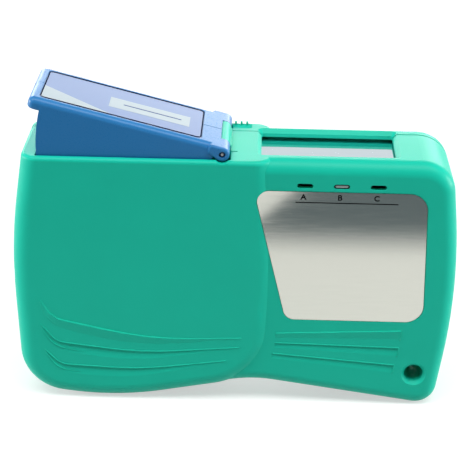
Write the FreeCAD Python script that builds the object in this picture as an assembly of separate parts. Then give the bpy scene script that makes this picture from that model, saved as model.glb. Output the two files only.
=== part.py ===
import FreeCAD, Part
import math
import os

# Hand-held reel cleaner for fibre connectors, in millimetres.
# X runs along the case to the right, Y from the front face to the back, Z up.
# The origin is under the middle of the case, on the surface that it stands on.
# The lever is drawn level, as when it is pressed, and then turned up to its rest.

V = FreeCAD.Vector
UP_Y = V(0, 1, 0)
UP_Z = V(0, 0, 1)
SAME = 1e-4
FULL_ROUND = 0.98
HALF_TURN = 180.0

# Case: overall size and walls
CASE_LENGTH = 130.8
CASE_DEPTH = 32.0
CASE_TOP = 79.5
WALL = 2.3
HOUSING_EDGE = 5.0
BODY_DROP = 0.9
BODY_EDGE = 4.0
LIP_EDGE = 1.2
COVER_DEPTH = 7.0
SEAM_HALF = 0.25
SEAM_DEPTH = 0.5

# Outline of the raised reel housing on the left; an arc's reach is how far it runs from its middle
HOUSING_LENGTH = 77.6
LEFT_RADIUS = 180.0
LEFT_WIDEST_Z = 40.0
LEFT_REACH_UP = 26.3
LEFT_REACH_DOWN = 7.2
LEFT_CORNER = 14.5
BELLY_RADIUS = 90.0
BELLY_FROM_LEFT = 27.0
BELLY_REACH_LEFT = 11.3
BELLY_REACH_RIGHT = 17.0
HOUSING_CORNER = 21.0
HOUSING_RIGHT_RADIUS = 300.0
HOUSING_WIDEST_Z = 42.0
HOUSING_REACH_UP = 23.5
HOUSING_REACH_DOWN = 15.7

# Outline of the flatter body on the right
BODY_FROM_LEFT = 45.0
RIGHT_RADIUS = 190.0
RIGHT_WIDEST_Z = 41.0
RIGHT_REACH_UP = 21.5
RIGHT_REACH_DOWN = 24.8
TOP_CORNER = 10.0
FOOT_RADIUS = 6.5
BASE_TILT = 8.4
CREST_RADIUS = 38.0
CREST_INSET = 0.4

# Window, panel recess, type slots and strap hole
WINDOW_BRIDGE = 8.7
WINDOW_FROM_RIGHT = 19.3
WINDOW_SIDE = 5.5
WINDOW_LIP = 1.1
RIM_CHAMFER = 1.2
WINDOW_CORNER = 0.6
PANEL_BELOW_TOP = 8.8
PANEL_BOTTOM = 28.8
PANEL_LAP = 7.1
PANEL_CLEAR = 3.2
PANEL_TOP_FROM_RIGHT = 10.1
PANEL_BOTTOM_FROM_RIGHT = 8.8
PANEL_CORNER = 3.6
PANEL_RIGHT_CORNER = 5.5
PANEL_RECESS = 0.5
PANEL_THICK = 0.4
PANEL_PLAY = 0.2
SLOT_STEP = 10.5
SLOT_COUNT = 3
SLOT_ABOVE_PANEL = 1.6
SLOT_OFFSET = 0.2
SLOT_LENGTH = 4.6
SLOT_HEIGHT = 1.5
SLIDE_THICK = 0.6
STRAP_FROM_RIGHT = 10.5
STRAP_Z = 11.1
STRAP_RADIUS = 2.85
STRAP_WALL = 1.8
STRAP_MOUTH = 0.9

# Grip ribs on the front faces
GRIP_DEPTH = 0.45
GRIP_WIDTH = 3.6
GRIP_BLEND = 0.05
GRIP_STATIONS = 14
GRIP_STEPS = 200
GRIP_CROWD = 1.7
SWELL_POWER = 0.6
SWELL_LEAST = 0.12
WIDEN_START = 0.55
WIDEN_END = 0.85
# Corners as (distance from the left end, height, rounding)
HOUSING_GRIPS = [
    [(7.9, 34.1, 0), (11.5, 28.0, 6), (41.0, 21.5, 100), (68.0, 22.6, 0)],
    [(8.0, 25.6, 0), (12.5, 19.9, 6), (38.0, 16.8, 100), (67.5, 19.4, 0)],
    [(8.9, 17.1, 0), (13.5, 12.2, 6), (37.0, 11.0, 100), (63.7, 14.7, 0)],
]
# Start beyond the housing's right side with its height, end before the right end with its height
BODY_GRIPS = [(0.6, 24.2, 15.2, 26.0), (0.5, 20.9, 15.6, 20.2), (-0.2, 17.2, 16.6, 14.2)]

# Lever and hinge
PIVOT_FROM_HOUSING = 16.1
PIVOT_RISE = 1.6
REST_ANGLE = 14.2
LEVER_FROM_LEFT = 4.9
LEVER_CLEAR = 0.2
LEVER_TOP = 2.1
LIP_UNDER = 1.5
LEVER_ROUND = 1.8
LEVER_CORNER = 2.0
WEDGE_INSET = 3.6
WEDGE_DEEP = 16.6
WEDGE_SHALLOW = 4.2
LEVER_SKIN = 1.5
LEVER_GAP = 0.4
EAR_RADIUS = 2.1
EAR_LENGTH = 4.3
EAR_THICK = 7.1
EAR_PROUD = 0.8
EAR_EDGE = 0.7
EAR_CORNER = 1.0
EAR_GAP = 0.3
KNUCKLE_GAP = 0.25
RELIEF_LENGTH = 1.8
RELIEF_WIDTH = 0.6
HINGE_PIN_RADIUS = 0.9
PIN_SINK = 0.3
PIN_BEVEL = 0.5
RUN_FIT = 0.05
LABEL_MARGIN_LEFT = 2.6
LABEL_RIGHT = 6.6
LABEL_SIDE = 2.2
LABEL_CORNER = 1.6
LABEL_RECESS = 0.3
LABEL_THICK = 0.25
LABEL_PLAY = 0.2
PARTING_HALF = 0.14
PARTING_DEPTH = 0.4

# Gear train from the lever to the take-up reel and the shutter
SECTOR_TEETH = 97
PINION_TEETH = 12
DRIVE_MODULE = 1.0
WHEEL_TEETH = 51
IDLER_TEETH = 36
SHUTTER_MODULE = 0.8
TOOTH_TOP = 0.8
TOOTH_ROOT = 1.1
BACKLASH = 0.16
PRESSURE_ANGLE = 20.0
MESH_ANGLE = 243.2
SECTOR_SPARE = 2.8
SECTOR_AFTER = 3.5
SECTOR_RIM = 3.0
ARM_SHARE = 0.32
ARM_ROOT = 14.0
GEAR_GAP = 0.2
WHEEL_THICK = 2.0
WHEEL_RIM = 4.0
WHEEL_WEB = 0.9
RACK_DROP = 2.8
RACK_LEAD = 6.7
RACK_REACH = 45.8

# Shutter and what lies under it
SHUTTER_GAP = 0.7
SHUTTER_THICK = 0.5
SHUTTER_LAP = 0.7
TAPE_THICK = 0.2
TAPE_PLAY = 0.4
TAPE_DROP = 2.7
GUIDE_RADIUS = 1.5
GUIDE_OUT = 3.8
PLATEN_INSET = 1.4
PLATEN_HEIGHT = 4.0
PAD_THICK = 2.0
PAD_INSET = 2.0
CHEEK_THICK = 1.0
CHEEK_END = 3.0
CHEEK_OVER = 1.0
LEDGE_WIDTH = 0.7
SLOT_PLATE_THICK = 0.6
SLOT_PLATE_GAP = 0.2
WIPE_MARGIN = 4.0
WIPE_WIDTH = 2.8
WIPE_OFFSET = 3.6
SHELF_THICK = 2.0
SHELF_HEIGHT = 4.2

# Reels
FLANGE_RADIUS = 21.0
FLANGE_THICK = 1.0
FLANGE_GAP = 0.7
REEL_GAP = 0.6
HUB_RADIUS = 8.0
TAKEUP_PACK = 14.0
SUPPLY_PACK = 18.0
PACK_GAP = 0.3
SUPPLY_FROM_RIGHT = 34.8
SUPPLY_DROP = 29.2
AXLE_RADIUS = 2.0
AXLE_SEAT = 1.2
BOSS_WALL = 2.0
RATCHET_RADIUS = 9.0
RATCHET_TEETH = 16
RATCHET_DEPTH = 0.9
PAWL_GAP = 0.2
PAWL_THICK = 0.9
PAWL_SWEEP = 70.0
PAWL_POINTS = 5
BACKSTOP_TEETH = 40
BACKSTOP_DEPTH = 0.8
FELT_THICK = 0.9
FELT_RADIUS = 7.0

# Springs
SPRING_FROM_LEFT = 17.0
SPRING_RADIUS = 3.6
SPRING_WIRE = 0.8
SPRING_TURNS = 4
SPRING_SIDES = 12
SPRING_FOOT_DROP = 22.5
SPRING_SHELF = 2.2
SPRING_SHELF_HALF = 5.5
LEAF_THICK = 0.3
LEAF_WIDTH = 3.5
LEAF_LENGTH = 15.0
POST_SIZE = 4.0

# Latch ridges of the rear cover
LATCH_FROM_PIVOT = 2.2
LATCH_LENGTH = 5.9
LATCH_FROM_BACK = 4.6
LATCH_DEPTH = 3.4
LATCH_RECESS = 1.0
RIDGE_COUNT = 3
RIDGE_START = 1.05
RIDGE_PITCH = 1.7
RIDGE_THICK = 0.6
RIDGE_LENGTH = 0.8
RIDGE_RISE = 0.9

# Values that follow from those above
LEFT_END = -CASE_LENGTH / 2
RIGHT_END = CASE_LENGTH / 2
BACK = CASE_DEPTH / 2
FRONT = GRIP_DEPTH - BACK
BODY_FRONT = FRONT + BODY_DROP
BODY_BACK = BACK - BODY_DROP
HOUSING_IN = BACK - WALL
BODY_IN = BODY_BACK - WALL
SPLIT = BACK - COVER_DEPTH
HOUSING_RIGHT = LEFT_END + HOUSING_LENGTH
BODY_START = LEFT_END + BODY_FROM_LEFT
PIVOT_X = HOUSING_RIGHT - PIVOT_FROM_HOUSING
PIVOT_Z = CASE_TOP + PIVOT_RISE
LEVER_LENGTH = PIVOT_X - LEFT_END - LEVER_FROM_LEFT
LEVER_HALF = HOUSING_IN - LEVER_CLEAR
WEDGE_RADIUS = LEVER_LENGTH - WEDGE_INSET
EAR_FACE = LEVER_HALF + EAR_PROUD
EAR_INNER = EAR_FACE - EAR_THICK
KNUCKLE_HALF = EAR_INNER - KNUCKLE_GAP
OPENING_HALF = LEVER_HALF + LEVER_GAP
OPENING_LEFT = PIVOT_X - WEDGE_RADIUS - LEVER_GAP
OPENING_RIGHT = PIVOT_X + EAR_RADIUS + EAR_GAP
WINDOW_LEFT = OPENING_RIGHT + WINDOW_BRIDGE
WINDOW_RIGHT = RIGHT_END - WINDOW_FROM_RIGHT
WINDOW_HALF = BACK - WINDOW_SIDE
WINDOW_FRONT = WINDOW_LIP - WINDOW_HALF
PANEL_TOP = CASE_TOP - PANEL_BELOW_TOP
PANEL_TOP_LEFT = HOUSING_RIGHT - PANEL_LAP
PANEL_TOP_RIGHT = RIGHT_END - PANEL_TOP_FROM_RIGHT
PANEL_BOTTOM_LEFT = HOUSING_RIGHT + PANEL_CLEAR
PANEL_BOTTOM_RIGHT = RIGHT_END - PANEL_BOTTOM_FROM_RIGHT
SLOT_X = (PANEL_TOP_LEFT + PANEL_TOP_RIGHT - (SLOT_COUNT - 1) * SLOT_STEP) / 2 + SLOT_OFFSET
SLOT_Z = PANEL_TOP + SLOT_ABOVE_PANEL
STRAP_X = RIGHT_END - STRAP_FROM_RIGHT
SHUTTER_TOP = CASE_TOP - WALL - SHUTTER_GAP
SHUTTER_UNDER = SHUTTER_TOP - SHUTTER_THICK
SECTOR_RADIUS = SECTOR_TEETH * DRIVE_MODULE / 2
PINION_RADIUS = PINION_TEETH * DRIVE_MODULE / 2
WHEEL_RADIUS = WHEEL_TEETH * SHUTTER_MODULE / 2
IDLER_RADIUS = IDLER_TEETH * SHUTTER_MODULE / 2
RACK_Z = SHUTTER_UNDER - RACK_DROP
AXLE_DISTANCE = SECTOR_RADIUS + PINION_RADIUS
TAKEUP_X = PIVOT_X + AXLE_DISTANCE * math.cos(math.radians(MESH_ANGLE))
TAKEUP_Z = PIVOT_Z + AXLE_DISTANCE * math.sin(math.radians(MESH_ANGLE))
IDLER_Z = RACK_Z - IDLER_RADIUS
IDLER_X = TAKEUP_X + math.sqrt((WHEEL_RADIUS + IDLER_RADIUS) ** 2 - (IDLER_Z - TAKEUP_Z) ** 2)
RACK_LEFT = IDLER_X - RACK_LEAD
RACK_RIGHT = IDLER_X + RACK_REACH
SECTOR_FRONT = -LEVER_HALF
SECTOR_BACK = SECTOR_FRONT + LEVER_SKIN
WHEEL_FRONT = SECTOR_BACK + GEAR_GAP
WHEEL_BACK = WHEEL_FRONT + WHEEL_THICK
FLANGE_OUT = -WHEEL_BACK - REEL_GAP
FLANGE_IN = FLANGE_OUT - FLANGE_THICK
TAPE_HALF = FLANGE_IN - FLANGE_GAP
TAPE_Z = SHUTTER_UNDER - TAPE_DROP
PAD_TOP = TAPE_Z - TAPE_THICK / 2
PLATEN_TOP = PAD_TOP - PAD_THICK
PLATEN_UNDER = PLATEN_TOP - PLATEN_HEIGHT
PLATEN_LEFT = WINDOW_LEFT + PLATEN_INSET
PLATEN_RIGHT = WINDOW_RIGHT - PLATEN_INSET
GUIDE_LEFT_X = PLATEN_LEFT - GUIDE_OUT
GUIDE_RIGHT_X = PLATEN_RIGHT + GUIDE_OUT
GUIDE_Z = PAD_TOP - GUIDE_RADIUS
CHEEK_IN = TAPE_HALF + TAPE_PLAY + LEDGE_WIDTH
CHEEK_OUT = CHEEK_IN + CHEEK_THICK
SUPPLY_X = RIGHT_END - SUPPLY_FROM_RIGHT
SUPPLY_Z = PLATEN_UNDER - SUPPLY_DROP
SPRING_X = LEFT_END + SPRING_FROM_LEFT
SPRING_FOOT_Z = CASE_TOP - SPRING_FOOT_DROP
LATCH_LEFT = PIVOT_X + LATCH_FROM_PIVOT
LATCH_FRONT = BACK - LATCH_FROM_BACK


def unit(degrees):
    """Unit vector in the XZ plane at an angle from +X towards +Z."""
    turn = math.radians(degrees)
    return V(math.cos(turn), 0, math.sin(turn))


def tangent(x, z, radius, degrees, reach=0.0):
    """Line that touches a circle: a point and a direction.

    The point lies at an angle, moved on round the circle until it is a reach off that angle's line.
    """
    turned = unit(degrees + math.degrees(math.asin(reach / radius)))
    return V(x, 0, z) + turned * radius, V(-turned.z, 0, turned.x)


def level(z):
    """Line along X at a height."""
    return V(0, 0, z), V(1, 0, 0)


def upright(x):
    """Line along Z at a place."""
    return V(x, 0, 0), V(0, 0, 1)


def shifted(line, distance):
    """The same line moved to the left of its direction, as seen from the front."""
    point, way = line
    return point + V(-way.z, 0, way.x) * distance, way


def meet(first, second):
    """X and Z of the point where two lines cross."""
    (p, a), (q, b) = first, second
    gap = q - p
    share = (gap.x * b.z - gap.z * b.x) / (a.x * b.z - a.z * b.x)
    point = p + a * share
    return point.x, point.z


def corner_arcs(corners, closed):
    """Start, middle and end of the arc that rounds each (x, z, radius) corner."""
    arcs = []
    last = len(corners) - 1
    for i, (x, z, radius) in enumerate(corners):
        here = V(x, 0, z)
        if radius == 0 or (not closed and i in (0, last)):
            arcs.append((here, here, here))
            continue
        ahead = corners[(i + 1) % len(corners)]
        back_way = (V(corners[i - 1][0], 0, corners[i - 1][1]) - here).normalize()
        ahead_way = (V(ahead[0], 0, ahead[1]) - here).normalize()
        half = back_way.getAngle(ahead_way) / 2
        cut = radius / math.tan(half)
        middle = (back_way + ahead_way).normalize() * (radius / math.sin(half) - radius)
        arcs.append((here + back_way * cut, here + middle, here + ahead_way * cut))
    return arcs


def route(corners, closed=False):
    """Wire of straight runs and tangent arcs through (x, z, radius) corners."""
    arcs = corner_arcs(corners, closed)
    edges = []
    for i, (start, middle, stop) in enumerate(arcs):
        if start.distanceToPoint(stop) > SAME:
            edges.append(Part.Arc(start, middle, stop).toShape())
        if i + 1 < len(arcs) or closed:
            following = arcs[(i + 1) % len(arcs)][0]
            if stop.distanceToPoint(following) > SAME:
                edges.append(Part.LineSegment(stop, following).toShape())
    return Part.Wire(edges)


def rounded(corners):
    """Closed face in the XZ plane with each corner rounded."""
    return Part.Face(route(corners, True))


def ribbon(corners, thickness):
    """Face of even thickness along a route of (x, z, radius) corners."""
    sides = []
    last = len(corners) - 1
    for side in (thickness / 2, -thickness / 2):
        edge = []
        for i, (x, z, radius) in enumerate(corners):
            here = V(x, 0, z)
            before = corners[max(i - 1, 0)]
            after = corners[min(i + 1, last)]
            back_way = V(x - before[0], 0, z - before[1])
            ahead_way = V(after[0] - x, 0, after[1] - z)
            if i == 0:
                back_way = ahead_way
            if i == last:
                ahead_way = back_way
            back_way = V(back_way).normalize()
            ahead_way = V(ahead_way).normalize()
            left = V(-back_way.z - ahead_way.z, 0, back_way.x + ahead_way.x).normalize()
            stretch = 1 / math.cos(back_way.getAngle(ahead_way) / 2)
            turns_left = back_way.x * ahead_way.z - back_way.z * ahead_way.x > 0
            moved = here + left * (side * stretch)
            grown = radius - side if turns_left else radius + side
            edge.append((moved.x, moved.z, grown if radius else 0))
        sides.append(edge)
    return rounded(sides[0] + sides[1][::-1])


def prism(face, front, back):
    """Solid of an XZ face between two Y planes."""
    moved = face.copy()
    moved.translate(V(0, front, 0))
    return moved.extrude(V(0, back - front, 0))


def box(x0, x1, y0, y1, z0, z1):
    """Box between its six planes."""
    return Part.makeBox(x1 - x0, y1 - y0, z1 - z0, V(x0, y0, z0))


def rod(x, z, radius, front, back):
    """Cylinder along Y."""
    return Part.makeCylinder(radius, back - front, V(x, front, z), UP_Y)


def ring(x, z, outer, inner, front, back):
    """Tube along Y."""
    return rod(x, z, outer, front, back).cut(rod(x, z, inner, front, back))


def joined(first, *others):
    """One solid from pieces that meet."""
    return first.fuse(list(others)).removeSplitter()


def edges_on(shape, test):
    """Edges whose every vertex passes a test."""
    return [edge for edge in shape.Edges if all(test(v.Point) for v in edge.Vertexes)]


def near(a, b):
    """True where two coordinates agree."""
    return abs(a - b) < SAME


def swell(share):
    """Width of a grip rib along its length: quick to grow, slow to fade."""
    return max(math.sin(math.pi * share ** SWELL_POWER), SWELL_LEAST)


def widen(share):
    """Width of a grip rib that grows evenly to a blunt end."""
    return WIDEN_START + (WIDEN_END - WIDEN_START) * share


def grip(path, profile, face_y, outward):
    """Wedge along a path: sharp at its upper edge, running out at its lower edge."""
    fine = path.discretize(Number=GRIP_STEPS)
    shares = [(i / (GRIP_STATIONS - 1)) ** GRIP_CROWD for i in range(GRIP_STATIONS)]
    points = [fine[round(share * (GRIP_STEPS - 1))] for share in shares]
    side = -1 if outward else 1
    root_y = face_y - side * GRIP_BLEND
    sections = []
    for i, here in enumerate(points):
        before = points[max(i - 1, 0)]
        after = points[min(i + 1, GRIP_STATIONS - 1)]
        way = (after - before).normalize()
        size = profile(shares[i])
        lower = here + V(way.z, 0, -way.x) * (GRIP_WIDTH * size)
        peak_y = face_y + side * GRIP_DEPTH * size
        corners = [here + UP_Y * root_y, here + UP_Y * peak_y, lower + UP_Y * root_y]
        sections.append(Part.makePolygon(corners + corners[:1]))
    return Part.makeLoft(sections, True, True)


def gear_points(x, z, teeth, module, angle, first, count):
    """Corner points of a run of gear teeth; the tooth at place 0 points along the angle."""
    pitch = teeth * module / 2
    base = pitch * math.cos(math.radians(PRESSURE_ANGLE))

    def half_width(radius):
        slope = math.acos(min(base / radius, 1.0))
        flank = math.radians(PRESSURE_ANGLE)
        grown = math.tan(flank) - flank - math.tan(slope) + slope
        return math.degrees((math.pi * module / 2 - BACKLASH) / (2 * pitch) + grown)

    root = pitch - TOOTH_ROOT * module
    top = pitch + TOOTH_TOP * module
    wide = half_width(max(root, base))
    narrow = half_width(top)
    centre = V(x, 0, z)
    points = []
    for place in range(first, first + count):
        middle = angle + place * 360 / teeth
        points.append(centre + unit(middle - wide) * root)
        points.append(centre + unit(middle - narrow) * top)
        points.append(centre + unit(middle + narrow) * top)
        points.append(centre + unit(middle + wide) * root)
    return points


def polygon(points):
    """Face of straight edges."""
    return Part.Face(Part.makePolygon(points + points[:1]))


def gear(x, z, teeth, module, angle, front, back):
    """Whole gear with one tooth along the angle."""
    return prism(polygon(gear_points(x, z, teeth, module, angle, 0, teeth)), front, back)


def saw_wheel(x, z, radius, depth, teeth, front, back):
    """Disc with one-way teeth, steep on the side that faces clockwise."""
    centre = V(x, 0, z)
    points = []
    for i in range(teeth):
        points.append(centre + unit(i * 360 / teeth) * (radius - depth))
        points.append(centre + unit(i * 360 / teeth) * radius)
    return prism(polygon(points), front, back)


# Lines of the two outlines
LEFTWARD, DOWNWARD, RIGHTWARD = 180, 270, 0
left_arc = LEFT_END + LEFT_RADIUS, LEFT_WIDEST_Z, LEFT_RADIUS
left_upper = tangent(*left_arc, LEFTWARD, -LEFT_REACH_UP)
left_lower = tangent(*left_arc, LEFTWARD, LEFT_REACH_DOWN)
belly_arc = LEFT_END + BELLY_FROM_LEFT, BELLY_RADIUS, BELLY_RADIUS
belly_left = tangent(*belly_arc, DOWNWARD, -BELLY_REACH_LEFT)
belly_right = tangent(*belly_arc, DOWNWARD, BELLY_REACH_RIGHT)
housing_arc = HOUSING_RIGHT - HOUSING_RIGHT_RADIUS, HOUSING_WIDEST_Z, HOUSING_RIGHT_RADIUS
housing_lower = tangent(*housing_arc, RIGHTWARD, -HOUSING_REACH_DOWN)
housing_upper = tangent(*housing_arc, RIGHTWARD, HOUSING_REACH_UP)
housing_cap = level(CASE_TOP + 2 * HOUSING_EDGE)
right_arc = RIGHT_END - RIGHT_RADIUS, RIGHT_WIDEST_Z, RIGHT_RADIUS
right_lower = tangent(*right_arc, RIGHTWARD, -RIGHT_REACH_DOWN)
right_upper = tangent(*right_arc, RIGHTWARD, RIGHT_REACH_UP)
foot_x, foot_z = meet(shifted(right_lower, FOOT_RADIUS), level(FOOT_RADIUS))
base_line = tangent(foot_x, foot_z, FOOT_RADIUS, DOWNWARD - BASE_TILT)
crest_line = shifted(belly_right, CREST_INSET)

housing_face = rounded([
    (*meet(housing_cap, left_upper), 0),
    (*meet(left_upper, left_lower), LEFT_RADIUS),
    (*meet(left_lower, belly_left), LEFT_CORNER),
    (*meet(belly_left, belly_right), BELLY_RADIUS),
    (*meet(belly_right, housing_lower), HOUSING_CORNER),
    (*meet(housing_lower, housing_upper), HOUSING_RIGHT_RADIUS),
    (*meet(housing_upper, housing_cap), 0),
])
body_face = rounded([
    (BODY_START, CASE_TOP, 0),
    (*meet(level(CASE_TOP), right_upper), TOP_CORNER),
    (*meet(right_upper, right_lower), RIGHT_RADIUS),
    (*meet(right_lower, base_line), FOOT_RADIUS),
    (*meet(base_line, crest_line), CREST_RADIUS),
    (*meet(crest_line, upright(BODY_START)), 0),
])


def below_top(shape):
    """What lies under the case's top plane."""
    far = CASE_LENGTH
    return shape.cut(box(-far, far, -far, far, CASE_TOP, CASE_TOP + far))


def outer_form():
    """Closed outside of the case: raised housing and flatter body in one."""
    housing = prism(housing_face, FRONT, BACK)
    rims = edges_on(housing, lambda p: near(p.y, FRONT)) + edges_on(housing, lambda p: near(p.y, BACK))
    caps = edges_on(housing, lambda p: p.z > CASE_TOP + HOUSING_EDGE)
    housing = housing.makeFillet(HOUSING_EDGE, [e for e in rims if not any(e.isSame(c) for c in caps)])
    housing = below_top(housing)
    housing = housing.makeFillet(LIP_EDGE, edges_on(housing, lambda p: near(p.z, CASE_TOP)))
    body = prism(body_face, BODY_FRONT, BODY_BACK)
    rims = edges_on(body, lambda p: near(p.y, BODY_FRONT)) + edges_on(body, lambda p: near(p.y, BODY_BACK))
    ends = edges_on(body, lambda p: near(p.x, BODY_START))
    body = body.makeFillet(BODY_EDGE, [e for e in rims if not any(e.isSame(c) for c in ends)])
    return joined(housing, body)


def cavity_form():
    """Inside of the case, a wall's thickness in from the outside."""
    housing = prism(housing_face.makeOffset2D(-WALL), -HOUSING_IN, HOUSING_IN)
    far = CASE_LENGTH
    housing = housing.cut(box(-far, far, -far, far, CASE_TOP - WALL, CASE_TOP + far))
    body = prism(body_face.makeOffset2D(-WALL), -BODY_IN, BODY_IN)
    opening = box(OPENING_LEFT, OPENING_RIGHT, -OPENING_HALF, OPENING_HALF,
                  CASE_TOP - 2 * WALL, CASE_TOP + WALL)
    return joined(housing, body, opening)


def window_cut():
    """Window with a straight front lip, its rim chamfered at the sides and the back."""
    rims = []
    for grow, z in ((0, CASE_TOP - 2 * WALL), (0, CASE_TOP - RIM_CHAMFER), (RIM_CHAMFER, CASE_TOP)):
        corner = WINDOW_CORNER + grow
        back = WINDOW_HALF + grow
        rim = flat_rectangle(WINDOW_LEFT - grow, WINDOW_RIGHT + grow, (back - WINDOW_FRONT) / 2,
                             corner, z, corner)
        rim.translate(V(0, (back + WINDOW_FRONT) / 2, 0))
        rims.append(rim)
    through = rims[0].extrude(UP_Z * 3 * WALL)
    return through.fuse(Part.makeLoft([rim.OuterWire for rim in rims[1:]], True, True))


def slot_face(index, play=0.0):
    """Rounded slot of the row of type slots, smaller all round by the play."""
    x = SLOT_X + index * SLOT_STEP
    half_x = SLOT_LENGTH / 2 - play
    half_z = SLOT_HEIGHT / 2 - play
    corners = [(x - half_x, SLOT_Z - half_z), (x + half_x, SLOT_Z - half_z),
               (x + half_x, SLOT_Z + half_z), (x - half_x, SLOT_Z + half_z)]
    return rounded([(cx, cz, half_z * FULL_ROUND) for cx, cz in corners])


def panel_face(play=0.0):
    """Outline of the front panel, smaller all round by the play."""
    face = rounded([
        (PANEL_TOP_LEFT, PANEL_TOP, PANEL_CORNER),
        (PANEL_TOP_RIGHT, PANEL_TOP, PANEL_RIGHT_CORNER),
        (PANEL_BOTTOM_RIGHT, PANEL_BOTTOM, PANEL_RIGHT_CORNER),
        (PANEL_BOTTOM_LEFT, PANEL_BOTTOM, PANEL_CORNER),
    ])
    return face.makeOffset2D(-play) if play else face


def grips():
    """Grip ribs to add to the front, and grooves to take from it."""
    ribs = []
    grooves = []
    housing = [[(LEFT_END + x, z, rounding) for x, z, rounding in path] for path in HOUSING_GRIPS]
    body = [[(HOUSING_RIGHT + start, low, 0), (RIGHT_END - stop, high, 0)]
            for start, low, stop, high in BODY_GRIPS]
    for paths, profile, face_y in ((housing, swell, FRONT), (body, widen, BODY_FRONT)):
        for i, path in enumerate(paths):
            target = grooves if i else ribs
            target.append(grip(route(path), profile, face_y, i == 0))
    return ribs, grooves


def seam_ring(outside):
    """Shallow groove where the two shells meet."""
    whole = housing_face.fuse(body_face).removeSplitter().Faces[0]
    core = prism(whole.makeOffset2D(-SEAM_DEPTH), SPLIT - WALL, SPLIT + WALL)
    far = CASE_LENGTH
    slab = box(-far, far, SPLIT - SEAM_HALF, SPLIT + SEAM_HALF, -far, CASE_TOP + far)
    core = core.cut(box(-far, far, -far, far, CASE_TOP - SEAM_DEPTH, CASE_TOP + far))
    return outside.common(slab).cut(core)


def knuckle():
    """Case knuckle between the lever's ears."""
    half = KNUCKLE_HALF
    web = box(PIVOT_X, OPENING_RIGHT + WALL, -half, half, CASE_TOP - WALL, PIVOT_Z)
    web = web.cut(box(OPENING_RIGHT, OPENING_RIGHT + 2 * WALL, -half, half, CASE_TOP, PIVOT_Z + WALL))
    barrel = rod(PIVOT_X, PIVOT_Z, EAR_RADIUS, -half, half)
    bore = rod(PIVOT_X, PIVOT_Z, HINGE_PIN_RADIUS, -half, half)
    return joined(barrel, web).cut(bore)


def shells():
    """Front case and rear cover."""
    outside = outer_form()
    ribs, grooves = grips()
    shell = outside.cut(cavity_form()).cut(window_cut())
    shell = shell.cut(seam_ring(outside))
    shell = shell.fuse(ribs)
    for groove in grooves:
        shell = shell.cut(groove)
    floor_y = BODY_FRONT + PANEL_RECESS
    shell = shell.cut(prism(panel_face(), -CASE_DEPTH, floor_y))
    for i in range(SLOT_COUNT):
        shell = shell.cut(prism(slot_face(i), -CASE_DEPTH, -BODY_IN + WALL))
    for front, back in ((-CASE_DEPTH, -EAR_INNER), (EAR_INNER, CASE_DEPTH)):
        shell = shell.cut(rod(PIVOT_X, PIVOT_Z, EAR_RADIUS + EAR_GAP, front, back))
    shell = shell.cut(box(OPENING_RIGHT, OPENING_RIGHT + RELIEF_LENGTH, -KNUCKLE_HALF - RELIEF_WIDTH,
                          -KNUCKLE_HALF, CASE_TOP - WALL, CASE_TOP + WALL))
    shell = shell.fuse(rod(STRAP_X, STRAP_Z, STRAP_RADIUS + STRAP_WALL, -BODY_IN, BODY_IN))
    shell = shell.cut(rod(STRAP_X, STRAP_Z, STRAP_RADIUS, -CASE_DEPTH, CASE_DEPTH))
    far = CASE_LENGTH
    front = shell.cut(box(-far, far, SPLIT, far, -far, far))
    rear = shell.cut(box(-far, far, -far, SPLIT, -far, far))
    return front_case(front), rear_cover(rear)


def strap_mouth(shape, face_y):
    """Bevel the mouth of the strap hole in one face."""
    mouth = edges_on(shape, lambda p: near(p.y, face_y)
                     and near(math.hypot(p.x - STRAP_X, p.z - STRAP_Z), STRAP_RADIUS))
    return shape.makeChamfer(STRAP_MOUTH, mouth)


def front_case(shell):
    """Front moulding with its knuckle, shelves, bosses and posts."""
    shelves = [
        box(x, x + SHELF_THICK, -BODY_IN, SPLIT, PLATEN_UNDER - SHELF_HEIGHT, PLATEN_UNDER)
        for x in (PLATEN_LEFT + SHELF_THICK, PLATEN_RIGHT - 2 * SHELF_THICK)
    ]
    half = SPRING_SHELF_HALF
    spring_shelf = box(SPRING_X - half, SPRING_X + half, -HOUSING_IN, half,
                       SPRING_FOOT_Z - SPRING_SHELF, SPRING_FOOT_Z)
    felt_boss = rod(SUPPLY_X, SUPPLY_Z, FELT_RADIUS, -BODY_IN, -FLANGE_OUT - FELT_THICK - GEAR_GAP)
    idler_boss = rod(IDLER_X, IDLER_Z, AXLE_RADIUS + BOSS_WALL, -HOUSING_IN, SECTOR_BACK)
    post_x, post_z = leaf_root()
    post = box(post_x - POST_SIZE, post_x, -HOUSING_IN, SPLIT,
               post_z - POST_SIZE / 2, post_z + POST_SIZE / 2)
    case = joined(shell, knuckle(), *shelves, spring_shelf, felt_boss, idler_boss, post)
    for x, z, face_y in ((TAKEUP_X, TAKEUP_Z, HOUSING_IN), (IDLER_X, IDLER_Z, HOUSING_IN),
                         (SUPPLY_X, SUPPLY_Z, BODY_IN)):
        case = case.cut(rod(x, z, AXLE_RADIUS, -face_y - AXLE_SEAT, 0))
    return strap_mouth(case, BODY_FRONT)


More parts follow.
